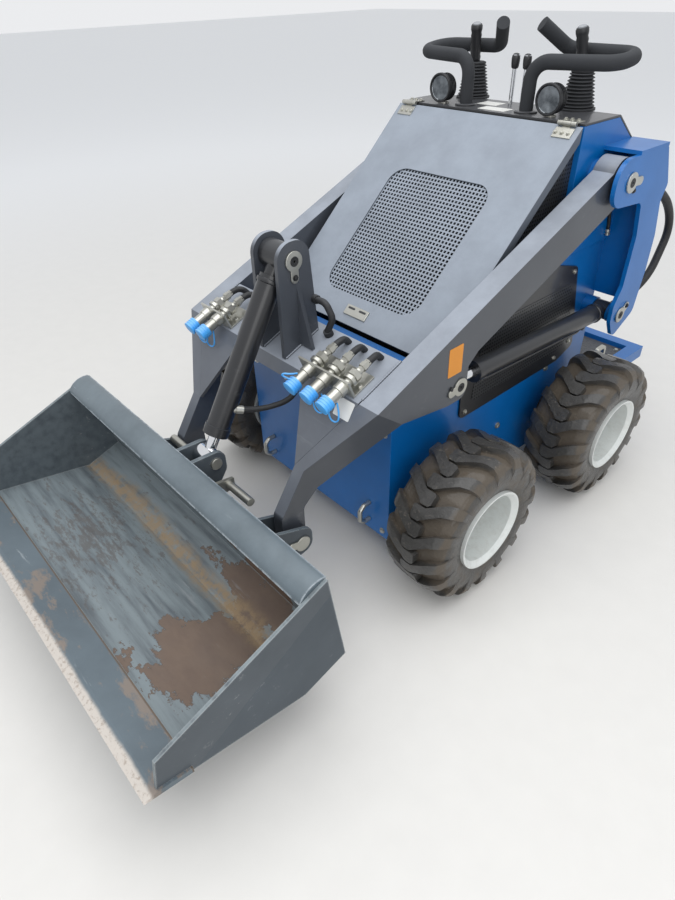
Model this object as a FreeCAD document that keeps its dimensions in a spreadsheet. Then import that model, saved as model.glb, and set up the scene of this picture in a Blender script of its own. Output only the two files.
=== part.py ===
import FreeCAD, Part
import math
import os
import Sketcher

# Compact walk-behind skid steer loader, as an assembly of separate pieces.
# X points to the machine's left, the bucket faces -Y, Z is up, and the ground is Z = 0.
# Lengths are millimetres and angles are degrees. Every size is named once, in SIZES.

SIZES = (
    # name, value, what it measures
    ("wheel_radius", 228, "tyre radius over the lugs"),
    ("tyre_width", 200, "tyre section width"),
    ("tyre_outer_x", 550, "outer face of the left tyres"),
    ("tread_radius", 206, "tyre radius between the lugs"),
    ("bead_radius", 104, "bore of the tyre"),
    ("lug_pitches", 16, "lugs on each side of a tyre"),
    ("front_axle_y", -105, "front axle"),
    ("rear_axle_y", 525, "rear axle"),
    ("rim_gap", 0.3, "play between the rim and the tyre"),
    ("bead_inset", 14, "from the tyre's widest point in to its bead"),
    ("tyre_sides", 16, "flats around a tyre"),
    ("lug_foot", 16, "how deep a lug's foot lies under the tread"),
    ("rim_lip_radius", 117, "outer edge of the rim flange"),
    ("rim_wall", 4, "rim thickness"),
    ("rim_disc_x", 395, "inner face of the left wheel discs"),
    ("rim_disc_wall", 8, "wheel disc thickness"),
    ("shaft_radius", 17.5, "wheel motor shaft"),
    ("running_fit", 0.05, "radial play of a pin or shaft in its bore"),
    ("motor_radius", 62, "wheel motor casing"),
    ("tub_half", 300, "half the width of the lower body"),
    ("tub_wall", 6, "lower body plate"),
    ("tub_front_y", -242, "front panel"),
    ("tub_rear_y", 690, "rear panel"),
    ("tub_bottom_z", 105, "underside of the lower body"),
    ("tub_fold_z", 495, "top of the upright front panel"),
    ("tub_deck_z", 765, "lower body's rear top edge"),
    ("apron_y", -105, "rear edge of the sloping apron"),
    ("apron_z", 618, "height of the apron's rear edge"),
    ("console_front_y", 410, "front wall of the control console"),
    ("console_wall", 5, "console plate"),
    ("console_edge_y", 583, "where the console top starts to fall"),
    ("console_top_z", 1100, "top of the console's side plates"),
    ("console_rear_z", 1026, "console height at its rear"),
    ("deck_plate_wall", 6, "control deck plate"),
    ("hood_side", 9, "hood past the lower body's side"),
    ("hood_slope", 42.3, "hood angle"),
    ("hood_top_y", 402, "upper edge of the hood"),
    ("hood_length", 690, "hood length down the slope"),
    ("hood_sheet", 4, "hood sheet"),
    ("hood_flange", 26, "folded edge of the hood"),
    ("hood_lip", 10, "folded front edge of the hood"),
    ("hinge_x", 267, "middle of the left hinge"),
    ("hinge_width", 52, "hinge width"),
    ("hinge_lift", 7, "hinge pin over the hood's face"),
    ("knuckle_width", 22, "middle knuckle of a hinge"),
    ("knuckle_radius", 6, "hinge knuckle"),
    ("grille_half", 176, "half the width of the hood opening"),
    ("grille_top", 203, "slope distance to the opening"),
    ("grille_bottom", 606, "slope distance to the end of the opening"),
    ("grille_corner", 50, "corner radius of the opening"),
    ("arm_pivot_y", 512, "lift arm pivot"),
    ("arm_pivot_z", 968, "height of the lift arm pivot"),
    ("arm_gap", 26, "from the lower body's side to the arm"),
    ("arm_width", 60, "width of the box arm"),
    ("arm_wall", 12, "arm bracket plate"),
    ("arm_eye_radius", 57, "rounded rear end of the arm"),
    ("arm_pin_radius", 20, "arm pivot pin"),
    ("arm_front_y", -378, "front top edge of the arms"),
    ("arm_front_z", 648, "height of that edge"),
    ("arm_slope", 22.4, "angle of the arms' top faces"),
    ("arm_depth", 106, "depth of the box arm"),
    ("lift_pin_y", -95, "lift cylinder pin on the arm"),
    ("lift_pin_z", 600, "height of the lift cylinder pin"),
    ("lift_lobe_radius", 42, "rounding around the lift pin"),
    ("knee_y", -488, "front of the arm's knee"),
    ("knee_z", 471, "height of the knee"),
    ("knee_outer_x", 249, "outer face of the left leg"),
    ("leg_width", 35, "width of the leg"),
    ("bucket_pin_y", -527, "bucket pivot"),
    ("bucket_pin_z", 275, "height of the bucket pivot"),
    ("bucket_lobe_radius", 38, "rounding around the bucket pivot"),
    ("bucket_pin_radius", 15, "bucket pivot pin"),
    ("post_gap", 14, "from the arm to the post plate"),
    ("post_wall", 12, "post plate"),
    ("base_pin_y", 652, "lift cylinder pin on the post"),
    ("base_pin_z", 555, "height of that pin"),
    ("lift_pin_radius", 16, "lift cylinder pins"),
    ("lift_bore_radius", 27, "lift cylinder barrel"),
    ("lift_rod_radius", 15, "lift cylinder rod"),
    ("lift_rod_showing", 62, "bare lift rod between gland and eye"),
    ("lift_travel_in", 40, "lift rod's room to slide further in"),
    ("lift_eye_radius", 26, "eye of the lift rod"),
    ("tilt_pin_y", -327, "tilt cylinder's upper pin"),
    ("tilt_pin_z", 890, "height of the upper pin"),
    ("tilt_eye_y", -605, "tilt cylinder's lower pin"),
    ("tilt_eye_z", 440, "height of the lower pin"),
    ("tilt_bore_radius", 30, "tilt cylinder barrel"),
    ("tilt_rod_radius", 15, "tilt cylinder rod"),
    ("tilt_rod_showing", 35, "bare tilt rod between gland and eye"),
    ("tilt_travel_in", 26, "tilt rod's room to slide further in"),
    ("tilt_eye_radius", 28, "eye of the tilt rod"),
    ("barrel_head", 40, "from a barrel's eye to the end of its bore"),
    ("tilt_pin_radius", 16, "tilt cylinder pins"),
    ("tower_gap", 80, "space between the tower plates"),
    ("tower_wall", 12, "tower plate"),
    ("clevis_gap", 56, "space between the tilt clevis plates"),
    ("bucket_half", 548, "half the bucket width"),
    ("bucket_wall", 8, "bucket plate"),
    ("bucket_side_wall", 8, "bucket side plate"),
    ("edge_wall", 14, "cutting edge thickness"),
    ("edge_depth", 110, "cutting edge front to back"),
    ("edge_overhang", 5, "cutting edge past the side plates"),
    ("step_rear_y", 1124, "rear edge of the step"),
    ("step_half", 340, "half the step width"),
    ("step_z", 200, "underside of the step frame"),
    ("step_bar", 45, "step frame bar"),
    ("grille_pitch", 23.4, "distance between the grille's openings"),
    ("grille_bar", 7, "bar between the grille's openings"),
    ("coupler_lift", 30, "middle of the couplers over the cross member"),
    ("coupler_radius", 14, "hydraulic coupler"),
    ("hose_radius", 8.5, "hydraulic hose"),
    ("bar_radius", 18, "grab bar in its sleeve"),
    ("lamp_radius", 38, "working lamp"),
    ("boot_radius", 46, "foot of a joystick's bellows"),
    ("boot_folds", 7, "folds of the bellows"),
    ("side_gap", 2, "play beside a moving piece on its pin"),
    ("seat_gap", 0.3, "play between a piece and its seat"),
)


class Size:
    """A length or angle, with its value and the sheet expression that it follows."""

    def __init__(self, value, text):
        self.value = float(value)
        self.text = text

    def __add__(self, other):
        other = size(other)
        return Size(self.value + other.value, f"({self.text} + {other.text})")

    def __sub__(self, other):
        other = size(other)
        return Size(self.value - other.value, f"({self.text} - {other.text})")

    def __mul__(self, other):
        other = size(other)
        return Size(self.value * other.value, f"{self.text} * {other.text}")

    def __truediv__(self, other):
        other = size(other)
        return Size(self.value / other.value, f"({self.text}) / {other.text}")

    def __neg__(self):
        return Size(-self.value, f"(0 - {self.text})")

    def __radd__(self, other):
        return size(other) + self

    def __rtruediv__(self, other):
        return size(other) / self

    def __rsub__(self, other):
        return size(other) - self

    def __rmul__(self, other):
        return size(other) * self


def size(number):
    """Returns a number as a Size, and a Size as it is."""
    if isinstance(number, Size):
        return number
    return Size(number, f"({number:.6g})")


def sine(angle):
    return Size(math.sin(math.radians(angle.value)), f"sin({angle.text})")


def cosine(angle):
    return Size(math.cos(math.radians(angle.value)), f"cos({angle.text})")


def heading(y_step, z_step):
    """Angle about X that turns +Y towards the direction (y_step, z_step)."""
    y_step, z_step = size(y_step), size(z_step)
    return Size(math.degrees(math.atan2(z_step.value, y_step.value)), f"atan2({z_step.text}; {y_step.text})")


def distance(y_step, z_step):
    y_step, z_step = size(y_step), size(z_step)
    text = f"sqrt({y_step.text} * {y_step.text} + {z_step.text} * {z_step.text})"
    return Size(math.hypot(y_step.value, z_step.value), text)


doc = FreeCAD.newDocument("loader")
sheet = doc.addObject("Spreadsheet::Sheet", "dims")


class Sheet:
    """The named sizes, as attributes."""


D = Sheet()
for row, (alias, number, meaning) in enumerate(SIZES, start=1):
    sheet.set(f"A{row}", alias)
    sheet.set(f"B{row}", str(number))
    sheet.setAlias(f"B{row}", alias)
    sheet.set(f"C{row}", meaning)
    setattr(D, alias, Size(number, f"dims.{alias}"))
doc.recompute()

# Places that follow from the width of the lower body
D.hood_half = D.tub_half + D.hood_side
D.arm_inner_x = D.tub_half + D.arm_gap
D.post_inner_x = D.arm_inner_x + D.arm_width + D.post_gap

nodes = {}
FLAT_ENOUGH = 1e-6


def node(name, item):
    """Names a finished piece, which is written to its own file."""
    item.Label = name
    nodes[name] = item
    return item


def bind(item, prop, amount):
    """Sets a property from the sheet."""
    item.setExpression(prop, size(amount).text)


def place(item, x=0, y=0, z=0, axis=None, angle=0):
    """Places a piece, with its position and its turn about one axis bound to the sheet."""
    if axis is not None:
        turn = size(angle)
        item.Placement = FreeCAD.Placement(FreeCAD.Vector(), FreeCAD.Rotation(FreeCAD.Vector(*axis), turn.value))
        bind(item, "Placement.Rotation.Angle", turn)
    for letter, amount in zip("xyz", (x, y, z)):
        bind(item, f"Placement.Base.{letter}", amount)
    return item


# Sketch planes: the turn that lays a sketch on each, and the axis it faces.
# side: (u, v) is (Y, Z) and faces +X. front: (X, Z), faces -Y. top: (X, Y), faces +Z.
PLANES = {
    "side": ((1, 1, 1), 120),
    "front": ((1, 0, 0), 90),
    "top": ((0, 0, 1), 0),
}


def corner_points(before, at, after, radius):
    """Start, middle and end of the arc that rounds a corner, as plain vectors."""
    first = (before - at).normalize()
    second = (after - at).normalize()
    half = first.getAngle(second) / 2
    reach = radius / math.tan(half)
    start = at + first * reach
    end = at + second * reach
    bisector = (first + second).normalize()
    centre = at + bisector * (radius / math.sin(half))
    middle = centre - bisector * radius
    return start, middle, end


def outline_sketch(sketch, outline, holes=()):
    """Draws a closed outline of (u, v) or (u, v, radius) corners and round holes, fully bound."""
    corners = [(size(c[0]), size(c[1]), size(c[2]) if len(c) > 2 else None) for c in outline]
    count = len(corners)
    flat = [FreeCAD.Vector(u.value, v.value, 0) for u, v, radius in corners]
    arcs = []
    for i, (u, v, radius) in enumerate(corners):
        arcs.append(corner_points(flat[i - 1], flat[i], flat[(i + 1) % count], radius.value) if radius else None)
    lines = []
    for i in range(count):
        j = (i + 1) % count
        start = arcs[i][2] if arcs[i] else flat[i]
        end = arcs[j][0] if arcs[j] else flat[j]
        lines.append(sketch.addGeometry(Part.LineSegment(start, end)))
    limits = []

    def fix(geometry, point, u, v):
        limits.append((sketch.addConstraint(
            Sketcher.Constraint("DistanceX", -1, 1, geometry, point, u.value)), u))
        limits.append((sketch.addConstraint(
            Sketcher.Constraint("DistanceY", -1, 1, geometry, point, v.value)), v))

    for i, (u, v, radius) in enumerate(corners):
        before, after = lines[i - 1], lines[i]
        if radius is None:
            sketch.addConstraint(Sketcher.Constraint("Coincident", before, 2, after, 1))
            fix(after, 1, u, v)
            continue
        arc = Part.Arc(*arcs[i])
        turn = (flat[i] - flat[i - 1]).cross(flat[(i + 1) % count] - flat[i]).z
        arc_id = sketch.addGeometry(arc)
        first, last = (1, 2) if turn > 0 else (2, 1)
        sketch.addConstraint(Sketcher.Constraint("Tangent", before, 2, arc_id, first))
        sketch.addConstraint(Sketcher.Constraint("Tangent", arc_id, last, after, 1))
        limits.append((sketch.addConstraint(Sketcher.Constraint("Radius", arc_id, radius.value)), radius))
        point = sketch.addGeometry(Part.Point(flat[i]), True)
        fix(point, 1, u, v)
        sketch.addConstraint(Sketcher.Constraint("PointOnObject", point, 1, before))
        sketch.addConstraint(Sketcher.Constraint("PointOnObject", point, 1, after))
    for u, v, radius in holes:
        u, v, radius = size(u), size(v), size(radius)
        circle = sketch.addGeometry(
            Part.Circle(FreeCAD.Vector(u.value, v.value, 0), FreeCAD.Vector(0, 0, 1), radius.value))
        limits.append((sketch.addConstraint(Sketcher.Constraint("Radius", circle, radius.value)), radius))
        fix(circle, 3, u, v)
    for index, amount in limits:
        sketch.setExpression(f"Constraints[{index}]", amount.text)


def prism(name, plane, start, depth, outline, holes=(), slope=None, origin=(0, 0, 0)):
    """Extrudes an outline from start, along the plane's facing axis, by depth.

    With slope, the sketch lies on a plane tilted about X by that angle through origin, its u
    along X and its v up the slope, and start is the height over that plane.
    """
    sketch = doc.addObject("Sketcher::SketchObject", f"{name}_sketch")
    if slope is None:
        axis, angle = PLANES[plane]
        sketch.Placement = FreeCAD.Placement(FreeCAD.Vector(), FreeCAD.Rotation(FreeCAD.Vector(*axis), angle))
        letter = {"side": "x", "front": "y", "top": "z"}[plane]
        bind(sketch, f"Placement.Base.{letter}", start)
    else:
        x, y, z = (size(amount) for amount in origin)
        start = size(start)
        place(sketch, x, y - start * sine(slope), z + start * cosine(slope), (1, 0, 0), slope)
    outline_sketch(sketch, outline, holes)
    solid = doc.addObject("Part::Extrusion", name)
    solid.Base = sketch
    solid.DirMode = "Normal"
    solid.Solid = True
    bind(solid, "LengthFwd", depth)
    return solid


def box(name, x, y, z, width, depth, height):
    """A block by its lowest corner and its size along X, Y and Z."""
    solid = doc.addObject("Part::Box", name)
    for prop, amount in (("Length", width), ("Width", depth), ("Height", height)):
        bind(solid, prop, amount)
    return place(solid, x, y, z)


TURN_TO = {"x": ((0, 1, 0), 90), "y": ((1, 0, 0), -90), "z": ((0, 0, 1), 0)}


def rod(name, along, x, y, z, length, radius):
    """A round bar that starts at a point and runs along an axis."""
    solid = doc.addObject("Part::Cylinder", name)
    bind(solid, "Radius", radius)
    bind(solid, "Height", length)
    axis, angle = TURN_TO[along]
    solid.Placement = FreeCAD.Placement(FreeCAD.Vector(), FreeCAD.Rotation(FreeCAD.Vector(*axis), angle))
    for letter, amount in zip("xyz", (x, y, z)):
        bind(solid, f"Placement.Base.{letter}", amount)
    return solid


def fuse(name, *items):
    whole = doc.addObject("Part::MultiFuse", name)
    whole.Shapes = list(items)
    whole.Refine = True
    return whole


def cut(name, base, *tools):
    tool = tools[0] if len(tools) == 1 else fuse(f"{name}_tools", *tools)
    whole = doc.addObject("Part::Cut", name)
    whole.Base = base
    whole.Tool = tool
    whole.Refine = True
    return whole


def group(name, *items):
    """Separate solids on one body that share a piece."""
    whole = doc.addObject("Part::Compound", name)
    whole.Links = list(items)
    return whole


def mirrored(name, item):
    """The right-hand twin of a left-hand piece."""
    twin = doc.addObject("Part::Mirroring", name)
    twin.Source = item
    twin.Normal = (1, 0, 0)
    return twin


def both_sides(name, item):
    """Makes the left piece and its right-hand twin."""
    node(f"{name}_left", item)
    node(f"{name}_right", mirrored(f"{name}_right", item))


def pair(name, item):
    """Makes one piece of a left-hand solid and its right-hand twin."""
    return node(name, group(f"{name}_pair", item, mirrored(f"{name}_twin", item)))


def pipe(name, points, radius, bends):
    """A bent tube or hose through points: round runs, joined by tangent ring pieces at the corners."""
    corners = [FreeCAD.Vector(*point) for point in points]
    runs = []
    start = corners[0]
    for before, at, after, bend in zip(corners, corners[1:], corners[2:], bends):
        first, middle, last = corner_points(before, at, after, bend)
        runs.append(Part.makeCylinder(radius, (first - start).Length, start, at - before))
        normal = (at - before).cross(after - at).normalize()
        centre = first + normal.cross(at - before).normalize() * bend
        disc = Part.Face(Part.Wire([Part.Circle(first, at - before, radius).toShape()]))
        turn = math.degrees((at - before).getAngle(after - at))
        runs.append(disc.revolve(centre, normal, turn))
        start = last
    runs.append(Part.makeCylinder(radius, (corners[-1] - start).Length, start, corners[-1] - corners[-2]))
    solid = doc.addObject("Part::Feature", name)
    solid.Shape = runs[0].multiFuse(runs[1:]).removeSplitter()
    return solid


def faceted(sections):
    """A solid with flat faces between many-cornered sections, which all have as many corners."""
    faces = [Part.Face(Part.makePolygon(ring + ring[:1])) for ring in (sections[0], sections[-1])]
    for first, second in zip(sections, sections[1:]):
        for i in range(len(first)):
            j = (i + 1) % len(first)
            a, b, c, d = first[i], first[j], second[j], second[i]
            if abs((b - a).cross(d - a).normalize() * (c - a)) < FLAT_ENOUGH:
                faces.append(Part.Face(Part.makePolygon([a, b, c, d, a])))
            else:
                faces.append(Part.Face(Part.makePolygon([a, b, c, a])))
                faces.append(Part.Face(Part.makePolygon([a, c, d, a])))
    shell = Part.Shell(faces)
    shell.sewShape()
    solid = Part.Solid(shell)
    if solid.Volume < 0:
        solid.reverse()
    return solid


# Lower body, open under the hood

tub_shell = prism("tub_shell", "side", -D.tub_half, D.tub_half * 2, [
    (D.tub_front_y, D.tub_bottom_z),
    (D.tub_rear_y, D.tub_bottom_z),
    (D.tub_rear_y, D.tub_deck_z),
    (D.console_front_y, D.tub_deck_z),
    (D.apron_y + 105, D.apron_z + 84),
    (D.apron_y, D.apron_z),
    (D.tub_front_y, D.tub_fold_z),
])
tub_core = prism("tub_core", "side", D.tub_wall - D.tub_half, (D.tub_half - D.tub_wall) * 2, [
    (D.tub_front_y + D.tub_wall, D.tub_bottom_z + D.tub_wall),
    (D.tub_rear_y - D.tub_wall, D.tub_bottom_z + D.tub_wall),
    (D.tub_rear_y - D.tub_wall, D.tub_deck_z - D.tub_wall),
    (D.console_front_y, D.tub_deck_z - D.tub_wall),
    (D.console_front_y, D.tub_deck_z + 200),
    (D.apron_y, D.tub_deck_z + 200),
    (D.apron_y, D.apron_z - D.tub_wall * 1.4),
    (D.tub_front_y + D.tub_wall, D.tub_fold_z - D.tub_wall * 0.5),
])
tub = cut("tub", tub_shell, tub_core)
node("chassis_tub", tub)

node("engine", box("engine_block", -190, -10, D.tub_bottom_z + D.tub_wall, 380, 380, 470))

# Black perforated covers on the sides of the lower body

panel_slots = []
for row in range(8):
    for column in range(3):
        panel_slots.append(box(f"panel_slot_{row}_{column}", D.tub_half - 1, 120 + column * 130 - row * 4,
                               460 + row * 26, 8, 100, 9))
pair("side_panels", cut("side_panel", prism("side_panel_plate", "side", D.tub_half, 6, [
    (30, 401, 20), (520, 401, 20), (606, 430, 20), (536, 712, 20), (410, 748, 20), (20, 686, 12)]),
    group("panel_slots", *panel_slots)))

# Dark mesh sides between the lower body and the hood


def on_hood(down, over):
    """(Y, Z) of a point, by its distance down the hood's slope and over its outer face."""
    down, over = size(down), size(over)
    return (D.hood_top_y - down * cosine(D.hood_slope) - over * sine(D.hood_slope),
            D.console_top_z - down * sine(D.hood_slope) + over * cosine(D.hood_slope))


pair("side_meshes", prism("side_mesh_plate", "side", D.tub_half - D.tub_wall * 2 - D.seat_gap, D.tub_wall, [
    (D.console_front_y - D.seat_gap, D.tub_deck_z - 60),
    (D.console_front_y - D.seat_gap, on_hood(0, -16)[1]),
    on_hood(8, -16),
    on_hood(D.hood_length - 75, -16),
    (0, D.apron_z + 30),
]))

# Control console and its deck

console_side = [
    (D.console_front_y, D.tub_deck_z),
    (D.tub_rear_y, D.tub_deck_z),
    (D.tub_rear_y, D.console_rear_z),
    (D.console_edge_y, D.console_top_z),
    (D.console_front_y, D.console_top_z),
]
console_shell = prism("console_shell", "side", -D.hood_half, D.hood_half * 2, console_side)
console_core = prism("console_core", "side", D.console_wall - D.hood_half, (D.hood_half - D.console_wall) * 2, [
    (D.console_front_y + D.console_wall, D.tub_deck_z - 10),
    (D.tub_rear_y - D.console_wall, D.tub_deck_z - 10),
    (D.tub_rear_y - D.console_wall, D.console_rear_z + 200),
    (D.console_front_y + D.console_wall, D.console_top_z + 200),
])
node("console", cut("console_body", console_shell, console_core))

node("control_deck", prism("deck_plate", "side", -D.hood_half, D.hood_half * 2, [
    (D.console_front_y, D.console_top_z),
    (D.console_edge_y, D.console_top_z),
    (D.tub_rear_y, D.console_rear_z),
    (D.tub_rear_y, D.console_rear_z + D.deck_plate_wall),
    (D.console_edge_y + 2, D.console_top_z + D.deck_plate_wall),
    (D.console_front_y, D.console_top_z + D.deck_plate_wall),
]))
deck_top = D.console_top_z + D.deck_plate_wall

# Rear posts: outer plate, top plate, rear web, and the bosses of the pins

post_plate = prism("post_plate", "side", D.post_inner_x, D.post_wall, [
    (D.arm_pivot_y - 76, D.arm_pivot_z + 62, 58),
    (D.arm_pivot_y - 76, D.arm_pivot_z - 54, 46),
    (D.arm_pivot_y + 92, D.arm_pivot_z - 68, 24),
    (D.arm_pivot_y + 118, D.arm_pivot_z - 168, 30),
    (D.base_pin_y - 24, D.base_pin_z + 95, 30),
    (D.base_pin_y - 52, D.base_pin_z + 42, 26),
    (D.base_pin_y - 48, D.base_pin_z - 14, 26),
    (D.base_pin_y - 11, D.base_pin_z - 74, 22),
    (D.base_pin_y + 92, D.base_pin_z - 18, 30),
    (D.base_pin_y + 106, D.base_pin_z + 118, 60),
    (D.arm_pivot_y + 242, D.arm_pivot_z - 190, 50),
    (D.arm_pivot_y + 214, D.arm_pivot_z - 90, 16),
    (D.arm_pivot_y + 232, D.arm_pivot_z - 44, 16),
    (D.arm_pivot_y + 172, D.arm_pivot_z + 62, 8),
], holes=[
    (D.arm_pivot_y, D.arm_pivot_z, D.arm_pin_radius + D.running_fit),
    (D.base_pin_y, D.base_pin_z, D.lift_pin_radius + D.running_fit),
])
post_top = box("post_top", D.hood_half, D.arm_pivot_y + 20, D.arm_pivot_z + 62,
               D.post_inner_x + D.post_wall - D.hood_half, 152, 10)
post_web = box("post_web", D.hood_half, D.tub_rear_y - 14, D.tub_deck_z,
               D.post_inner_x - D.hood_half, 12, D.arm_pivot_z + 62 - D.tub_deck_z)
post_foot = box("post_foot", D.tub_half, D.tub_rear_y - 14, D.base_pin_z + 40,
                D.post_inner_x - D.tub_half, 12, D.tub_deck_z - D.base_pin_z - 40)
arm_boss = rod("arm_boss", "x", D.hood_half, D.arm_pivot_y, D.arm_pivot_z,
               D.arm_inner_x - D.side_gap - D.hood_half, 44)
base_boss = rod("base_boss", "x", D.tub_half, D.base_pin_y, D.base_pin_z, 32, 32)
base_washer = rod("base_washer", "x", 380, D.base_pin_y, D.base_pin_z, D.post_inner_x - 380, 30)
arm_bore = rod("arm_bore", "x", D.hood_half - 1, D.arm_pivot_y, D.arm_pivot_z,
               D.arm_inner_x - D.hood_half, D.arm_pin_radius + D.running_fit)
base_bore = rod("base_bore", "x", D.tub_half - 1, D.base_pin_y, D.base_pin_z,
                D.post_inner_x - D.tub_half + 2, D.lift_pin_radius + D.running_fit)
post = cut("post", fuse("post_solid", post_plate, post_top, post_web, post_foot, arm_boss, base_boss,
                        base_washer), arm_bore, base_bore)
both_sides("rear_post", post)


def keeper(name, x, y, z, tail_y, tail_z, head, wall=5):
    """Teardrop plate that locks a pin, with its narrow end at the tail's offset."""
    big = rod(f"{name}_head", "x", x, y, z, wall, head)
    small = rod(f"{name}_tail", "x", x, y + tail_y, z + tail_z, wall, 11)
    reach = distance(tail_y, tail_z)
    neck = prism(f"{name}_neck", "side", 0, wall, [(0, -11), (reach, -11), (reach, 11), (0, 11)])
    link = group(f"{name}_link", neck)
    place(link, x, y, z, (1, 0, 0), heading(tail_y, tail_z))
    return fuse(f"{name}_plate", big, small, link)


def pin_set(name, start_x, end_x, y, z, radius, tail_y, tail_z, head):
    """A pin from start_x with its keeper plate on end_x."""
    start_x, end_x = size(start_x), size(end_x)
    shank = rod(f"{name}_shank", "x", start_x, y, z, end_x - start_x, radius)
    return fuse(name, shank, keeper(f"{name}_keeper", end_x, y, z, tail_y, tail_z, head))


post_face = D.post_inner_x + D.post_wall + D.seat_gap
pair("post_pins", group(
    "post_pin_pair",
    pin_set("arm_pivot_pin", D.hood_half + D.seat_gap, post_face, D.arm_pivot_y, D.arm_pivot_z,
            D.arm_pin_radius, 45, -2, 26),
    pin_set("base_pivot_pin", D.tub_half + D.seat_gap, post_face, D.base_pin_y, D.base_pin_z,
            D.lift_pin_radius, 30, 22, 24)))

# Step frame and plate behind the machine

step_depth = D.step_rear_y - D.tub_rear_y
step_outer = box("step_outer", -D.step_half, D.tub_rear_y, D.step_z, D.step_half * 2, step_depth, D.step_bar)
step_inner = box("step_inner", D.step_bar - D.step_half, D.tub_rear_y + 20, D.step_z - 5,
                 (D.step_half - D.step_bar) * 2, step_depth - D.step_bar - 20, D.step_bar + 10)
node("step_frame", cut("step_ring", step_outer, step_inner))
node("step_plate", box("step_tread", D.step_bar - D.step_half + D.seat_gap, D.tub_rear_y + 20 + D.seat_gap,
                       D.step_z + 20, (D.step_half - D.step_bar - D.seat_gap) * 2,
                       step_depth - D.step_bar - 20 - D.seat_gap * 2, 6))

# Tie rings on the front panel and beside the rear step

ring_parts = []
for side in (-1, 1):
    x = 225 * side
    front = D.tub_front_y.value - 0.3
    ring_parts.append(pipe(f"tie_ring_{side}", [
        (x, front, 206), (x, front - 22, 206), (x, front - 38, 192), (x, front - 38, 158),
        (x, front - 22, 144), (x, front, 144)], 7, (9, 9, 9, 9)))
for side in (-1, 1):
    x = (D.step_half.value - 20) * side
    foot = D.step_z.value + D.step_bar.value
    ring_parts.append(cut(f"rear_ring_{side}", prism(f"rear_ring_bar_{side}", "side", x - 6, 12, [
        (761, foot), (761, foot + 112, 22), (829, foot + 112, 22), (829, foot)]),
        prism(f"rear_ring_eye_{side}", "side", x - 8, 16, [
            (773, foot + 14, 8), (773, foot + 100, 12), (817, foot + 100, 12), (817, foot + 14, 8)])))
node("tie_rings", group("tie_ring_set", *ring_parts))

# Wheel motors, which carry the wheels on their shafts

motor_parts = []
for end in ("front", "rear"):
    axle_y = getattr(D, f"{end}_axle_y")
    casing = rod(f"{end}_motor_casing", "x", D.tub_half, axle_y, D.wheel_radius,
                 D.rim_disc_x - 33 - D.tub_half, D.motor_radius)
    shaft = rod(f"{end}_motor_shaft", "x", D.tub_half, axle_y, D.wheel_radius,
                D.rim_disc_x - 6 - D.tub_half, D.shaft_radius)
    motor = fuse(f"{end}_motor", casing, shaft)
    motor_parts += [motor, mirrored(f"{end}_motor_right", motor)]
node("wheel_motors", group("wheel_motor_set", *motor_parts))

# Wheels: a body that turns a profile about X, with its pattern of lugs or bolt holes


def origin_feature(body, role):
    return next(item for item in body.Origin.OriginFeatures if item.Role == role)


def body_sketch(body, name):
    sketch = body.newObject("Sketcher::SketchObject", name)
    sketch.AttachmentSupport = (origin_feature(body, "XY_Plane"), [""])
    sketch.MapMode = "FlatFace"
    return sketch


# Half section of the carcass outside the beads, and the lugs' stations from the middle outwards
SIDEWALL = (
    # in from the tyre's edge, under the tread
    (15, 4),
    (2.5, 42),
)
LUG_STATIONS = (
    # across from the middle, front edge and rear edge behind the lug's tip, top under the crown
    (-18, 0, 30, 0),
    (17, 2, 34, 0),
    (76, 48, 84, 10),
    (99, 54, 86, 50),
)


def flat_ring(x, radius, sides):
    """Corners of a many-sided ring about X, with flats that touch the radius."""
    reach = radius / math.cos(math.pi / sides)
    return [FreeCAD.Vector(x, reach * math.sin(a), reach * math.cos(a))
            for a in (2 * math.pi * i / sides for i in range(sides))]


def lug_solid(hand):
    """One chevron lug at the top of the tyre, on its outer or inner half, swept back to the rear."""
    middle = (LUG_STATIONS[0][1] + LUG_STATIONS[-1][2]) / 2
    sections = []
    for across, front, rear, drop in LUG_STATIONS:
        y0, y1 = front - middle, rear - middle
        top = math.sqrt((D.wheel_radius.value - drop) ** 2 - max(abs(y0), abs(y1)) ** 2)
        foot = min(D.tread_radius.value - D.lug_foot.value, top - D.lug_foot.value * 1.6)
        sections.append([FreeCAD.Vector(across * hand, y, z)
                         for y, z in ((y0, top), (y1, top), (y1, foot), (y0, foot))])
    return faceted(sections)


def tyre_shape():
    """The tyre about its own centre: a carcass of flats, and two rows of lugs half a pitch apart."""
    half, sides = D.tyre_width.value / 2, int(D.tyre_sides.value)
    bead, seat = D.bead_radius.value, D.rim_lip_radius.value + 3
    places = [(half - inset, D.tread_radius.value - under) for inset, under in SIDEWALL]
    solid = faceted([flat_ring(x, radius, sides) for x, radius in
                     [(-x, radius) for x, radius in reversed(places)] + places])
    wide, wide_radius = places[-1]
    deep = half - D.bead_inset.value
    flare = seat + (wide_radius - seat) * D.bead_inset.value / (wide - deep)
    hollows = [faceted([flat_ring(deep * hand, seat, sides), flat_ring(half * hand, flare, sides)])
               for hand in (-1, 1)]
    hollows.append(faceted([flat_ring(x, bead, sides) for x in (-half, half)]))
    pitch = 360 / D.lug_pitches.value
    tip = math.degrees(math.asin((LUG_STATIONS[-1][2] - LUG_STATIONS[0][1]) / 2 / D.wheel_radius.value))
    lugs = []
    for hand, shift in ((1, 0), (-1, pitch / 2)):
        lug = lug_solid(hand)
        for index in range(int(D.lug_pitches.value)):
            lugs.append(lug.rotated(FreeCAD.Vector(), FreeCAD.Vector(1, 0, 0), 180 - tip + shift + index * pitch))
    return solid.multiFuse(lugs).cut(hollows).removeSplitter()


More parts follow.
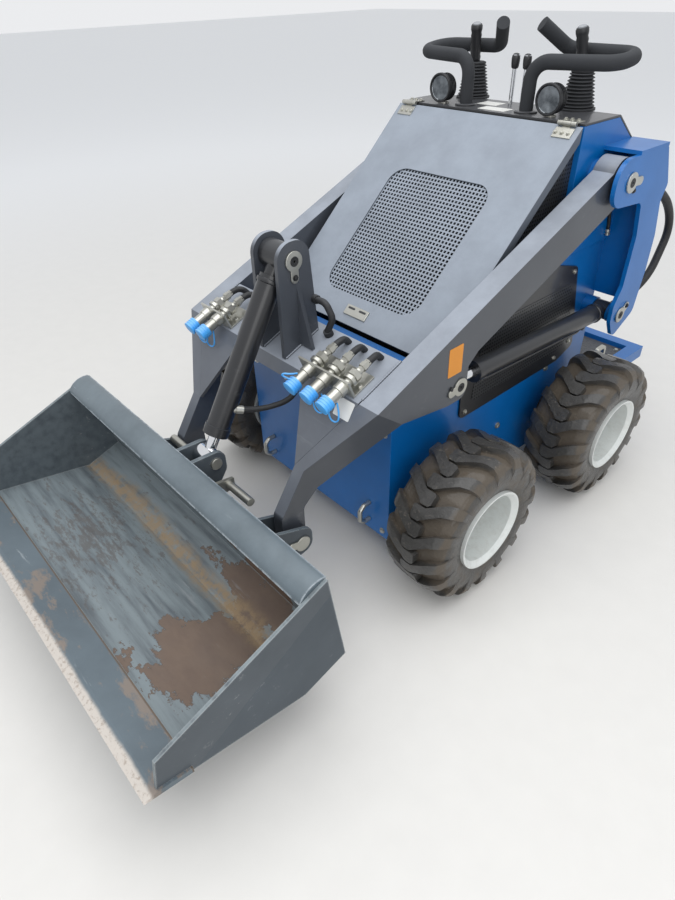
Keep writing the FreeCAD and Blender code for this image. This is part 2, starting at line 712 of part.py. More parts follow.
def tyre(name, side, axle_y):
    """A tyre placed on its axle."""
    solid = doc.addObject("Part::Feature", name)
    solid.Shape = TYRE_SHAPE
    return place(solid, (D.tyre_outer_x - D.tyre_width / 2) * side, axle_y, D.wheel_radius)


TYRE_SHAPE = tyre_shape()


def rim(name, side, axle_y):
    """A deep dished rim about its own centre, with its bored hub, placed on its axle."""
    half = D.tyre_width / 2
    centre_x = D.tyre_outer_x - half
    disc = D.rim_disc_x - centre_x
    seat = D.bead_radius - D.rim_gap
    flange = half - D.bead_inset + D.rim_gap
    bore = D.shaft_radius + D.running_fit
    body = doc.addObject("PartDesign::Body", name)
    profile = body_sketch(body, f"{name}_profile")
    lip = D.rim_lip_radius
    outline_sketch(profile, [
        (disc - 20, bore), (disc, bore), (disc, 14), (disc + D.rim_disc_wall, 14),
        (disc + D.rim_disc_wall, seat - D.rim_wall), (flange, seat - D.rim_wall), (half - 2, lip - 5),
        (half - 2, lip), (flange, lip), (flange, seat), (-flange, seat), (-flange, lip), (2 - half, lip),
        (2 - half, lip - 5), (-flange, seat - D.rim_wall), (disc, seat - D.rim_wall), (disc - 20, 44)])
    turned = body.newObject("PartDesign::Revolution", f"{name}_turned")
    turned.Profile = profile
    turned.ReferenceAxis = (profile, ["H_Axis"])
    turned.Angle = 360
    return place(body, centre_x * side, axle_y, D.wheel_radius, (0, 0, 1), 0 if side > 0 else 180)


for end in ("front", "rear"):
    axle_y = getattr(D, f"{end}_axle_y")
    for hand, side in (("left", 1), ("right", -1)):
        node(f"tyre_{end}_{hand}", tyre(f"tyre_body_{end}_{hand}", side, axle_y))
        node(f"rim_{end}_{hand}", rim(f"rim_body_{end}_{hand}", side, axle_y))

# Lift arms: box beam, bracket for the lift cylinder, bent front, and the leg to the bucket

arm_run_y = cosine(D.arm_slope)
arm_run_z = sine(D.arm_slope)


def on_arm(along, under):
    """(Y, Z) of a point, by its distance up the arm's top face and under it."""
    along, under = size(along), size(under)
    return (D.arm_front_y + along * arm_run_y + under * arm_run_z,
            D.arm_front_z + along * arm_run_z - under * arm_run_y)


arm_outer_x = D.arm_inner_x + D.arm_width
arm_length = distance(D.arm_pivot_y - D.arm_front_y, D.arm_pivot_z - D.arm_front_z)
beam = prism("arm_beam", "side", D.arm_inner_x, D.arm_width, [
    on_arm(0, 0),
    on_arm(arm_length - 12, 0),
    on_arm(arm_length - 12, D.arm_depth),
    on_arm(330, D.arm_depth),
    (D.lift_pin_y + 28, D.lift_pin_z + 46, 8),
    (D.lift_pin_y + 28, D.lift_pin_z - 40, 26),
    (D.lift_pin_y - 40, D.lift_pin_z - 40, 20),
    (D.arm_front_y + 78, D.arm_front_z - 63),
])
arm_eye = rod("arm_eye", "x", D.arm_inner_x, D.arm_pivot_y, D.arm_pivot_z, D.arm_width, D.arm_eye_radius)
arm_hub = rod("arm_hub", "x", arm_outer_x, D.arm_pivot_y, D.arm_pivot_z,
              D.post_inner_x - D.side_gap - arm_outer_x, 40)
leg = prism("arm_leg", "side", D.knee_outer_x - D.leg_width, D.leg_width, [
    (D.knee_y, D.knee_z),
    (D.bucket_pin_y - D.bucket_lobe_radius, D.bucket_pin_z + 84, 30),
    (D.bucket_pin_y - D.bucket_lobe_radius, D.bucket_pin_z),
    (D.bucket_pin_y + D.bucket_lobe_radius - 6, D.bucket_pin_z),
    (D.bucket_pin_y + D.bucket_lobe_radius - 6, D.bucket_pin_z + 84, 20),
    (D.knee_y + 41, D.knee_z - 73),
])
leg_lobe = rod("leg_lobe", "x", D.knee_outer_x - D.leg_width, D.bucket_pin_y, D.bucket_pin_z,
               D.leg_width, D.bucket_lobe_radius)
leg_boss = rod("leg_boss", "x", D.knee_outer_x - D.leg_width - 8, D.bucket_pin_y, D.bucket_pin_z,
               D.leg_width + 16, 30)


def bent_front(name):
    """Tapered box between the beam's front end and the knee, from one section to the other."""
    outer, inner = arm_outer_x.value, D.arm_inner_x.value
    knee_out, knee_in = D.knee_outer_x.value, D.knee_outer_x.value - D.leg_width.value
    top = (D.arm_front_y.value, D.arm_front_z.value)
    under = (D.arm_front_y.value + 78, D.arm_front_z.value - 63)
    knee_top = (D.knee_y.value, D.knee_z.value)
    knee_under = (D.knee_y.value + 41, D.knee_z.value - 73)
    rear = [FreeCAD.Vector(x, *p) for x, p in ((outer, top), (inner, top), (inner, under), (outer, under))]
    front = [FreeCAD.Vector(x, *p) for x, p in (
        (knee_out, knee_top), (knee_in, knee_top), (knee_in, knee_under), (knee_out, knee_under))]
    solid = doc.addObject("Part::Feature", name)
    solid.Shape = faceted([rear, front])
    return solid


slot = box("rod_slot", D.arm_inner_x + D.arm_wall, D.lift_pin_y - 62, D.lift_pin_z - 60,
           D.arm_width - D.arm_wall * 2, 200, 105)
lift_bore = rod("lift_bore", "x", D.arm_inner_x - 1, D.lift_pin_y, D.lift_pin_z, D.arm_width + 2,
                D.lift_pin_radius + D.running_fit)
pivot_bore = rod("pivot_bore", "x", D.arm_inner_x - 1, D.arm_pivot_y, D.arm_pivot_z, D.arm_width + 30,
                 D.arm_pin_radius + D.running_fit)
bucket_bore = rod("bucket_bore", "x", D.knee_outer_x - D.leg_width - 9, D.bucket_pin_y, D.bucket_pin_z,
                  D.leg_width + 18, D.bucket_pin_radius + D.running_fit)
arm = cut("arm", fuse("arm_solid", beam, arm_eye, arm_hub, bent_front("arm_bend"), leg, leg_lobe, leg_boss),
          slot, lift_bore, pivot_bore, bucket_bore)
both_sides("lift_arm", arm)

# Stub pins in the arms' brackets; the middle of each pin rides in the rod's eye

pair("lift_pins", group(
    "lift_pin_stubs",
    pin_set("lift_pin_outer", D.arm_inner_x + D.arm_width - D.arm_wall, arm_outer_x + D.seat_gap,
            D.lift_pin_y, D.lift_pin_z, D.lift_pin_radius, -34, -6, 24),
    rod("lift_pin_inner", "x", D.arm_inner_x, D.lift_pin_y, D.lift_pin_z, D.arm_wall, D.lift_pin_radius)))

# Cross member between the arms: top plate, and front plate cut out in the middle

front_drop = distance(D.knee_y - D.arm_front_y, D.knee_z - D.arm_front_z)
front_slope = heading(D.arm_front_y - D.knee_y, D.arm_front_z - D.knee_z)
cross_top = prism("cross_top", "side", -D.arm_inner_x, D.arm_inner_x * 2, [
    on_arm(0, 0), on_arm(146, 0), on_arm(146, 60), on_arm(136, 60), on_arm(136, 10), on_arm(0, 10)])
cross_half = D.arm_inner_x - D.seat_gap
knee_half = D.knee_outer_x - D.leg_width - D.seat_gap
cross_front = prism("cross_front", None, -10, 10, [
    (-cross_half, 0), (-knee_half, -front_drop), (-140, -34), (140, -34),
    (knee_half, -front_drop), (cross_half, 0)],
    slope=front_slope, origin=(0, D.arm_front_y, D.arm_front_z))
tower_parts = []
for side in (-1, 1):
    start = D.tower_gap / 2 if side > 0 else -D.tower_gap / 2 - D.tower_wall
    tower_parts.append(prism(f"tower_plate_{side}", "side", start, D.tower_wall, [
        (D.tilt_pin_y - 46, D.tilt_pin_z + 46, 44), on_arm(6, -1), on_arm(128, -1),
        (D.tilt_pin_y + 46, D.tilt_pin_z + 46, 44)],
        holes=[(D.tilt_pin_y, D.tilt_pin_z, D.tilt_pin_radius + D.running_fit)]))
    reach = D.tower_gap / 2 + D.tower_wall
    foot_z = D.arm_front_z + 28
    tower_parts.append(prism(f"tower_rib_{side}", "front", -312, 10, [
        (reach * side, foot_z + 150), (reach * side, foot_z), ((reach + 46) * side, foot_z)]))
cross_corners = [box(f"cross_corner_{side}", D.arm_inner_x * side - 3, -380, 634, 6, 12, 20) for side in (-1, 1)]
node("cross_member", cut("cross_solid", fuse("cross_whole", cross_top, cross_front),
                         group("cross_corners", *cross_corners)))
node("tilt_tower", fuse("tower_solid", *tower_parts))

# Hydraulic couplers: brackets folded up at the front of the cross member, the couplers through them,
# and their caps

COUPLER_SETS = (
    # side, inner and outer end of the bracket, places of its couplers
    (1, 130, 304, (168, 226, 282)),
    (-1, 186, 300, (218, 272)),
)
COUPLER_STEPS = (
    # name, where it starts up the slope, its length, its radius past the coupler's
    ("nut", 12, 46, -3),
    ("collar", -14, 26, 3),
    ("head", -42, 28, 0),
)


def along_arm(name, x, *items):
    """Places pieces built along Y, with their foot on Z = 0, up the slope of the arms' top faces."""
    return place(group(name, *items), x, D.arm_front_y, D.arm_front_z, (1, 0, 0), D.arm_slope)


coupler_sets = []
cap_parts = []
for side, near, far, across in COUPLER_SETS:
    parts = [prism(f"coupler_bracket_{side}", "side", near if side > 0 else -far, far - near, [
        on_arm(6, 0), on_arm(76, 0), on_arm(76, -5), on_arm(11, -5), on_arm(11, -50), on_arm(6, -50)])]
    for x in across:
        steps = [rod(f"coupler_{part}_{x * side + 400}", "y", 0, begin, D.coupler_lift, length,
                     D.coupler_radius + wider) for part, begin, length, wider in COUPLER_STEPS]
        parts.append(along_arm(f"coupler_{x * side + 400}", x * side, *steps))
        cap = rod(f"coupler_cap_{x * side + 400}", "y", 0, -68, D.coupler_lift, 26, D.coupler_radius + 4)
        cap_parts.append(along_arm(f"coupler_cap_place_{x * side + 400}", x * side, cap))
    coupler_sets.append(fuse(f"coupler_set_{side}", *parts))
node("couplers", group("coupler_pair", *coupler_sets))
node("coupler_caps", group("coupler_cap_set", *cap_parts))

hose_foot = along_arm("hose_foot_place", 96, rod("hose_foot", "z", 0, 125, 0, 14, 12))
tower_side = D.tower_gap / 2 + D.tower_wall
hose_head = rod("hose_head", "x", tower_side, -269, 781, 12, 11)
foot_y, foot_z = (amount.value for amount in on_arm(125, -13))
node("tower_hose", fuse("tower_hose_solid", hose_foot, hose_head, pipe("tower_hose_bend", [
    (96, foot_y, foot_z), (112, -262, 744), (92, -267, 781), (tower_side.value + 10, -269, 781)],
    D.hose_radius.value, (24, 22))))

# Bucket

bucket_floor = prism("bucket_sheet", "side", D.bucket_side_wall - D.bucket_half,
                     (D.bucket_half - D.bucket_side_wall) * 2, [
    (-1023, 222.1), (-752, 174), (-640, 206), (-633, 214), (-673, 478), (-735, 455), (-720, 432),
    (-684, 444), (-642, 219), (-752, 182.4), (-1023, 230.5)])
side_plate = prism("bucket_side", "side", D.bucket_half - D.bucket_side_wall, D.bucket_side_wall, [
    (-1095, 249), (-1082, 325), (-673, 480), (-633, 208), (-752, 172), (-1023, 221), (-1023, 236.5)])
node("bucket_shell", fuse("bucket_solid", bucket_floor, side_plate, mirrored("bucket_side_right", side_plate)))

node("cutting_edge", prism("edge_plate", "side", -D.bucket_half - D.edge_overhang,
                           (D.bucket_half + D.edge_overhang) * 2, [
    (-1124, 240), (-1023, 222.1), (-1023, 236.1), (-1096, 249)]))

hook = prism("hook_plate", "side", D.knee_outer_x + 14, 10, [
    (D.bucket_pin_y + 34, D.bucket_pin_z - 34, 30), (D.bucket_pin_y + 34, D.bucket_pin_z + 34, 30),
    (-655, 372), (-641, 270), (-634, 225)],
    holes=[(D.bucket_pin_y, D.bucket_pin_z, D.bucket_pin_radius + D.running_fit)])
hook_inner = prism("hook_plate_inner", "side", D.knee_outer_x - D.leg_width - 24, 10, [
    (D.bucket_pin_y + 34, D.bucket_pin_z - 34, 30), (D.bucket_pin_y + 34, D.bucket_pin_z + 34, 30),
    (-655, 372), (-641, 270), (-634, 225)],
    holes=[(D.bucket_pin_y, D.bucket_pin_z, D.bucket_pin_radius + D.running_fit)])
clevis = prism("clevis_plate", "side", D.clevis_gap / 2, 12, [
    (D.tilt_eye_y + 30, D.tilt_eye_z - 30, 28), (D.tilt_eye_y + 30, D.tilt_eye_z + 30, 28),
    (-667, 474), (-647, 310)],
    holes=[(D.tilt_eye_y, D.tilt_eye_z, D.tilt_pin_radius + D.running_fit)])
bracket_parts = [hook, hook_inner, clevis]
node("bucket_brackets", group("bracket_set", *bracket_parts, *[
    mirrored(f"{item.Name}_right", item) for item in bracket_parts]))



def bucket_back_y(z):
    """Y of the bucket's back sheet at a height."""
    return -633 - 40 * (z - 214) / 264


lock_parts = [
    prism("lock_lug", "side", 84, 9, [
        (bucket_back_y(376), 376), (-590, 388), (-590, 416), (bucket_back_y(428), 428)]),
    rod("lock_bar", "x", 84, -605, 402, 100, 11)]
pair("lock_bars", fuse("lock_bar_solid", *lock_parts))

hook_pin = pin_set("hook_pin", D.knee_outer_x - D.leg_width - 26, D.knee_outer_x + 24 + D.seat_gap,
                   D.bucket_pin_y, D.bucket_pin_z, D.bucket_pin_radius, -34, 10, 22)
clevis_stub = rod("clevis_stub", "x", D.clevis_gap / 2, D.tilt_eye_y, D.tilt_eye_z, 18, D.tilt_pin_radius)
node("bucket_pins", group("bucket_pin_set", hook_pin, mirrored("hook_pin_right", hook_pin), clevis_stub,
                          mirrored("clevis_stub_right", clevis_stub)))

# Hydraulic cylinders, built along +Y from the pin of the barrel and turned into place


def barrel(name, pin_radius, bore_radius, length, eye_radius, half_width, rod_radius):
    """Barrel with its eye at the origin, its tube and its gland, hollow for the rod."""
    eye = rod(f"{name}_eye", "x", -size(half_width), 0, 0, size(half_width) * 2, eye_radius)
    neck = rod(f"{name}_neck", "y", 0, 0, 0, eye_radius + 24, bore_radius * 0.72)
    tube = rod(f"{name}_tube", "y", 0, size(eye_radius) + 16, 0, length - eye_radius - 16, bore_radius)
    gland = rod(f"{name}_gland", "y", 0, length - 22, 0, 22, bore_radius + 2.5)
    eye_bore = rod(f"{name}_eye_bore", "x", -size(half_width) - 1, 0, 0, size(half_width) * 2 + 2,
                   pin_radius + D.running_fit)
    rod_bore = rod(f"{name}_rod_bore", "y", 0, eye_radius + D.barrel_head, 0, length, rod_radius + D.seat_gap)
    return cut(name, fuse(f"{name}_solid", eye, neck, tube, gland), eye_bore, rod_bore)


def piston_rod(name, start, length, rod_radius, eye_radius, half_width):
    """Rod from inside its barrel to its eye, with the middle of the pin in it."""
    stem = rod(f"{name}_stem", "y", 0, start, 0, length - start, rod_radius)
    eye = rod(f"{name}_eye", "x", -size(half_width), length, 0, size(half_width) * 2, eye_radius)
    return fuse(name, stem, eye)


lift_turn = heading(D.lift_pin_y - D.base_pin_y, D.lift_pin_z - D.base_pin_z)
lift_span = distance(D.lift_pin_y - D.base_pin_y, D.lift_pin_z - D.base_pin_z)
lift_x = D.arm_inner_x + D.arm_width / 2
barrel_eye = size(28)
for hand, side in (("left", 1), ("right", -1)):
    lift_barrel = barrel(f"lift_tube_{hand}", D.lift_pin_radius, D.lift_bore_radius,
                         lift_span - D.lift_eye_radius - D.lift_rod_showing, barrel_eye, 22, D.lift_rod_radius)
    node(f"lift_barrel_{hand}", place(lift_barrel, lift_x * side, D.base_pin_y, D.base_pin_z,
                                      (1, 0, 0), lift_turn))
    lift_rod = piston_rod(f"lift_stem_{hand}", barrel_eye + D.barrel_head + D.lift_travel_in, lift_span,
                          D.lift_rod_radius, D.lift_eye_radius, 16)
    node(f"lift_rod_{hand}", place(lift_rod, lift_x * side, D.base_pin_y, D.base_pin_z,
                                   (1, 0, 0), lift_turn))

tilt_turn = heading(D.tilt_eye_y - D.tilt_pin_y, D.tilt_eye_z - D.tilt_pin_z)
tilt_span = distance(D.tilt_eye_y - D.tilt_pin_y, D.tilt_eye_z - D.tilt_pin_z)
tilt_half = D.tower_gap / 2 - D.side_gap
tilt_barrel_eye = size(34)
node("tilt_barrel", place(barrel("tilt_tube", D.tilt_pin_radius, D.tilt_bore_radius,
                                 tilt_span - D.tilt_eye_radius - D.tilt_rod_showing,
                                 tilt_barrel_eye, tilt_half, D.tilt_rod_radius),
                          0, D.tilt_pin_y, D.tilt_pin_z, (1, 0, 0), tilt_turn))
node("tilt_rod", place(piston_rod("tilt_stem", tilt_barrel_eye + D.barrel_head + D.tilt_travel_in, tilt_span,
                                  D.tilt_rod_radius, D.tilt_eye_radius, D.clevis_gap / 2 - D.side_gap),
                       0, D.tilt_pin_y, D.tilt_pin_z, (1, 0, 0), tilt_turn))
tower_face = D.tower_gap / 2 + D.tower_wall + D.seat_gap
node("tilt_pin", pin_set("tilt_pin_body", -tower_face, tower_face, D.tilt_pin_y, D.tilt_pin_z,
                         D.tilt_pin_radius, 0, -42, 24))

# Hood: sheet with folded edges, its grille, hinges and latch

hood_origin = (0, D.hood_top_y, D.console_top_z)
hood_sheet = prism("hood_sheet_plate", None, -D.hood_sheet, D.hood_sheet, [
    (-D.hood_half, 0), (-D.hood_half, -D.hood_length), (D.hood_half, -D.hood_length), (D.hood_half, 0)],
    slope=D.hood_slope, origin=hood_origin)
hood_parts = [hood_sheet]
for side in (-1, 1):
    start = D.hood_half - D.hood_sheet if side > 0 else -D.hood_half
    hood_parts.append(prism(f"hood_flange_{side}", "side", start, D.hood_sheet, [
        on_hood(0, -1), on_hood(D.hood_length, -1), on_hood(D.hood_length, -D.hood_lip),
        on_hood(D.hood_length - 30, -D.hood_flange), on_hood(D.hood_flange, -D.hood_flange)]))
hood_parts.append(prism("hood_front_lip", None, -D.hood_lip, D.hood_lip, [
    (-D.hood_half, -D.hood_length), (D.hood_half, -D.hood_length),
    (D.hood_half, D.hood_sheet - D.hood_length), (-D.hood_half, D.hood_sheet - D.hood_length)],
    slope=D.hood_slope, origin=hood_origin))
hood_opening = prism("hood_opening", None, -D.hood_sheet - 5, D.hood_sheet + 10, [
    (-D.grille_half, -D.grille_top, D.grille_corner), (-D.grille_half, -D.grille_bottom, D.grille_corner),
    (D.grille_half, -D.grille_bottom, D.grille_corner), (D.grille_half, -D.grille_top, D.grille_corner)],
    slope=D.hood_slope, origin=hood_origin)
node("hood", cut("hood_panel", fuse("hood_folded", *hood_parts), hood_opening))
grille_rim = prism("grille_rim", None, -D.hood_sheet - 3, 3, [
    (-D.grille_half - 15, 15 - D.grille_top, 20), (-D.grille_half - 15, -D.grille_bottom - 15, 20),
    (D.grille_half + 15, -D.grille_bottom - 15, 20), (D.grille_half + 15, 15 - D.grille_top, 20)],
    slope=D.hood_slope, origin=hood_origin)
grille_holes = []
hole = D.grille_pitch - D.grille_bar
columns = int(2 * D.grille_half.value // D.grille_pitch.value)
rows = int((D.grille_bottom.value - D.grille_top.value) // D.grille_pitch.value)
for column in range(columns):
    for row in range(rows):
        if column in (0, columns - 1) and row in (0, rows - 1):
            continue
        grille_holes.append(Part.makeBox(hole.value, hole.value, 9, FreeCAD.Vector(
            (column - columns / 2) * D.grille_pitch.value + D.grille_bar.value / 2,
            -(D.grille_top + D.grille_bottom).value / 2 + (row - rows / 2) * D.grille_pitch.value
            + D.grille_bar.value / 2, -D.hood_sheet.value - 6)))
hole_field = doc.addObject("Part::Feature", "grille_holes")
hole_field.Shape = Part.makeCompound(grille_holes)
node("hood_grille", cut("grille_plate", grille_rim,
                        place(hole_field, 0, D.hood_top_y, D.console_top_z, (1, 0, 0), D.hood_slope)))

hinge_y, hinge_z = on_hood(0, D.hinge_lift)
hinge_parts = []
deck_hinge_parts = []
for side in (-1, 1):
    middle = D.hinge_x * side
    left = middle - D.hinge_width / 2
    tab = middle - D.knuckle_width / 2
    leaf = prism(f"hinge_leaf_{side}", None, 0, 3, [
        (left, -9), (left, -38), (left + D.hinge_width, -38), (left + D.hinge_width, -9),
        (tab + D.knuckle_width, -9), (tab + D.knuckle_width, -3), (tab, -3), (tab, -9)],
        slope=D.hood_slope, origin=hood_origin)
    knuckle = rod(f"hinge_knuckle_{side}", "x", tab, hinge_y, hinge_z,
                  D.knuckle_width, D.knuckle_radius)
    hinge_parts.append(fuse(f"hinge_{side}", leaf, knuckle))
    deck_leaf = box(f"deck_leaf_{side}", left, hinge_y + 9, deck_top, D.hinge_width, 30, 3)
    end_width = (D.hinge_width - D.knuckle_width) / 2 - D.seat_gap
    ends = [deck_leaf]
    for edge, start in (("inner", left), ("outer", left + D.hinge_width - end_width)):
        ends.append(rod(f"deck_knuckle_{edge}_{side}", "x", start, hinge_y, hinge_z, end_width, D.knuckle_radius))
        ends.append(box(f"deck_tab_{edge}_{side}", start, hinge_y, deck_top, end_width, 10, 3))
    deck_hinge_parts.append(fuse(f"deck_hinge_{side}", *ends))
node("hood_hinges", group("hinge_pair", *hinge_parts))
node("deck_hinges", group("deck_hinge_pair", *deck_hinge_parts))
node("hood_latch", prism("latch_plate", None, 0, 4, [
    (-42, 26 - D.hood_length), (42, 26 - D.hood_length), (42, 56 - D.hood_length), (-42, 56 - D.hood_length)],
    slope=D.hood_slope, origin=hood_origin))

# Controls on the deck: grab bars, joysticks in their boots, lamps and levers


def left_and_right(name, maker):
    parts = [maker(1), maker(-1)]
    return node(name, group(f"{name}_pair", *parts))


def over_deck(height):
    """Height of a point given over the control deck."""
    return deck_top.value + height


pair("grab_bars", pipe("grab_tube", [
    (102, 458, over_deck(0)), (102, 458, over_deck(118)), (315, 505, over_deck(120)), (315, 606, over_deck(132)),
    (112, 612, over_deck(134)), (62, 540, over_deck(194))], D.bar_radius.value, (46, 48, 48, 40)))

BOOT_PLACE = (177, 585)
BOOT_HEIGHT = 68
FOLD_DEPTH = 5


def boot(side):
    """A joystick: base ring, bellows that narrow upwards, and the handle."""
    x, y = BOOT_PLACE[0] * side, BOOT_PLACE[1]
    parts = [rod(f"boot_base_{side}", "z", x, y, deck_top, 8, D.boot_radius + 4)]
    folds = int(D.boot_folds.value)
    step = BOOT_HEIGHT / folds
    for fold in range(folds):
        wide = D.boot_radius - fold * 2
        for half, ends in enumerate(((wide - FOLD_DEPTH, wide), (wide, wide - FOLD_DEPTH - 2))):
            cone = doc.addObject("Part::Cone", f"boot_fold_{side}_{fold}_{half}")
            for prop, amount in (("Radius1", ends[0]), ("Radius2", ends[1]), ("Height", step / 2)):
                bind(cone, prop, amount)
            parts.append(place(cone, x, y, deck_top + 8 + (fold + half / 2) * step))
    parts.append(pipe(f"boot_stick_{side}", [
        (x, y, over_deck(70)), (x, y - 5, over_deck(94)), (168 * side, y - 23, over_deck(180))], 11, (40,)))
    return fuse(f"boot_{side}", *parts)


LAMP_STEPS = (
    # name, how far behind the glass it starts, its depth, its radius less the lamp's
    ("bezel", 0, 10, 0),
    ("body", 10, 30, -8),
    ("fin_front", 17, 4, -2),
    ("fin_middle", 25, 4, -3),
    ("fin_rear", 33, 4, -4),
)


def lamp(side):
    """A working lamp with cooling fins, on its foot."""
    x, height = 181 * side, over_deck(40)
    parts = [rod(f"lamp_{part}_{side}", "y", x, 429 + behind, height, depth, D.lamp_radius + wider)
             for part, behind, depth, wider in LAMP_STEPS]
    parts.append(rod(f"lamp_foot_{side}", "z", x, 452, deck_top, 20, 9))
    return fuse(f"lamp_{side}", *parts)


left_and_right("joysticks", boot)
left_and_right("lamps", lamp)
lever_parts = []
for x in (-10, 28):
    stem = rod(f"lever_{x + 20}", "z", x, 545, deck_top, 96, 6)
    knob = rod(f"lever_knob_{x + 20}", "z", x, 545, deck_top + 94, 28, 10)
    lever_parts.append(fuse(f"lever_whole_{x + 20}", stem, knob))
node("levers", group("lever_pair", *lever_parts))

doc.recompute()

for item in doc.Objects:
    if "Invalid" in item.State or "Error" in item.State:
        raise RuntimeError(f"{item.Label} failed: {item.State}")
for name, item in nodes.items():
    shape = item.Shape
    if shape.isNull() or not shape.isValid():
        raise RuntimeError(f"{name} has no valid shape")

os.makedirs("parts", exist_ok=True)
for name, item in nodes.items():
    item.Shape.exportStep(f"parts/{name}.step")
print(f"{len(nodes)} pieces written")
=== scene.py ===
"""Looks of a compact walk-behind skid steer loader, built around its packed construction.

Lengths are metres. X points to the machine's left, the bucket faces -Y and the floor is Z = 0.
"""

from __future__ import annotations

import logging
import math
import random
from dataclasses import dataclass
from enum import Enum
from typing import Optional, Sequence

import bmesh
import bpy
from mathutils import Euler, Matrix, Vector, noise


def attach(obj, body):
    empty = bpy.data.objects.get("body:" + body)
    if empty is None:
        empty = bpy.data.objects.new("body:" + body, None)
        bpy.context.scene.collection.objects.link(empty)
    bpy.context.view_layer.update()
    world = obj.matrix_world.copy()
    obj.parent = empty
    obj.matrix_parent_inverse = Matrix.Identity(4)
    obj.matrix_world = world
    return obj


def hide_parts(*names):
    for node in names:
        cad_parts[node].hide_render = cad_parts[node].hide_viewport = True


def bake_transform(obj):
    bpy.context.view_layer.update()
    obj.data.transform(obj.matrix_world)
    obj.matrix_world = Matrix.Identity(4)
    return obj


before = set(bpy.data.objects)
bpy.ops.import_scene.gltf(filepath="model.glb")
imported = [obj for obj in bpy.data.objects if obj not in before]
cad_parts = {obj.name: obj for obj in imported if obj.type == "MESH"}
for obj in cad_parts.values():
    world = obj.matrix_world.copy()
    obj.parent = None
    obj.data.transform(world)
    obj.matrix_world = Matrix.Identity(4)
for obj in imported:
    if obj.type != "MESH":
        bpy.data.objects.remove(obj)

Rgb = tuple[float, float, float]
Rgba = tuple[float, float, float, float]
Point = tuple[float, float, float]
Flat = tuple[float, float]
Spot = tuple[float, float, float, float]
Socket = bpy.types.NodeSocket
Tree = bpy.types.NodeTree

LOG = logging.getLogger("loader")
MM = 0.001
FULL_TURN = 2 * math.pi
# Near-black painted into holes that are not cut: painted shade.
HOLE_PAINTED_SHADE: Rgba = (0.001, 0.001, 0.001, 1.0)
SIDES = (("left", 1), ("right", -1))
UP: Point = (0, 0, 1)
DOWN: Point = (0, 0, -1)
REARWARD: Point = (0, 1, 0)
LEFTWARD: Point = (1, 0, 0)


def srgb(code: str) -> Rgb:
    """Linear red, green and blue of an sRGB hex code of six digits."""
    channels = [int(code[i:i + 2], 16) / 255 for i in (0, 2, 4)]
    return tuple(c / 12.92 if c <= 0.04045 else ((c + 0.055) / 1.055) ** 2.4 for c in channels)


def opaque(code: str) -> Rgba:
    """Linear colour of an sRGB hex code, with full alpha."""
    return (*srgb(code), 1.0)


def shaded(colour: Rgba, share: float) -> Rgba:
    """A colour with its three channels scaled."""
    return (*(share * c for c in colour[:3]), 1.0)


def spoken(name: str) -> str:
    """A socket's name for an argument's name."""
    return name.replace("_", " ").capitalize()


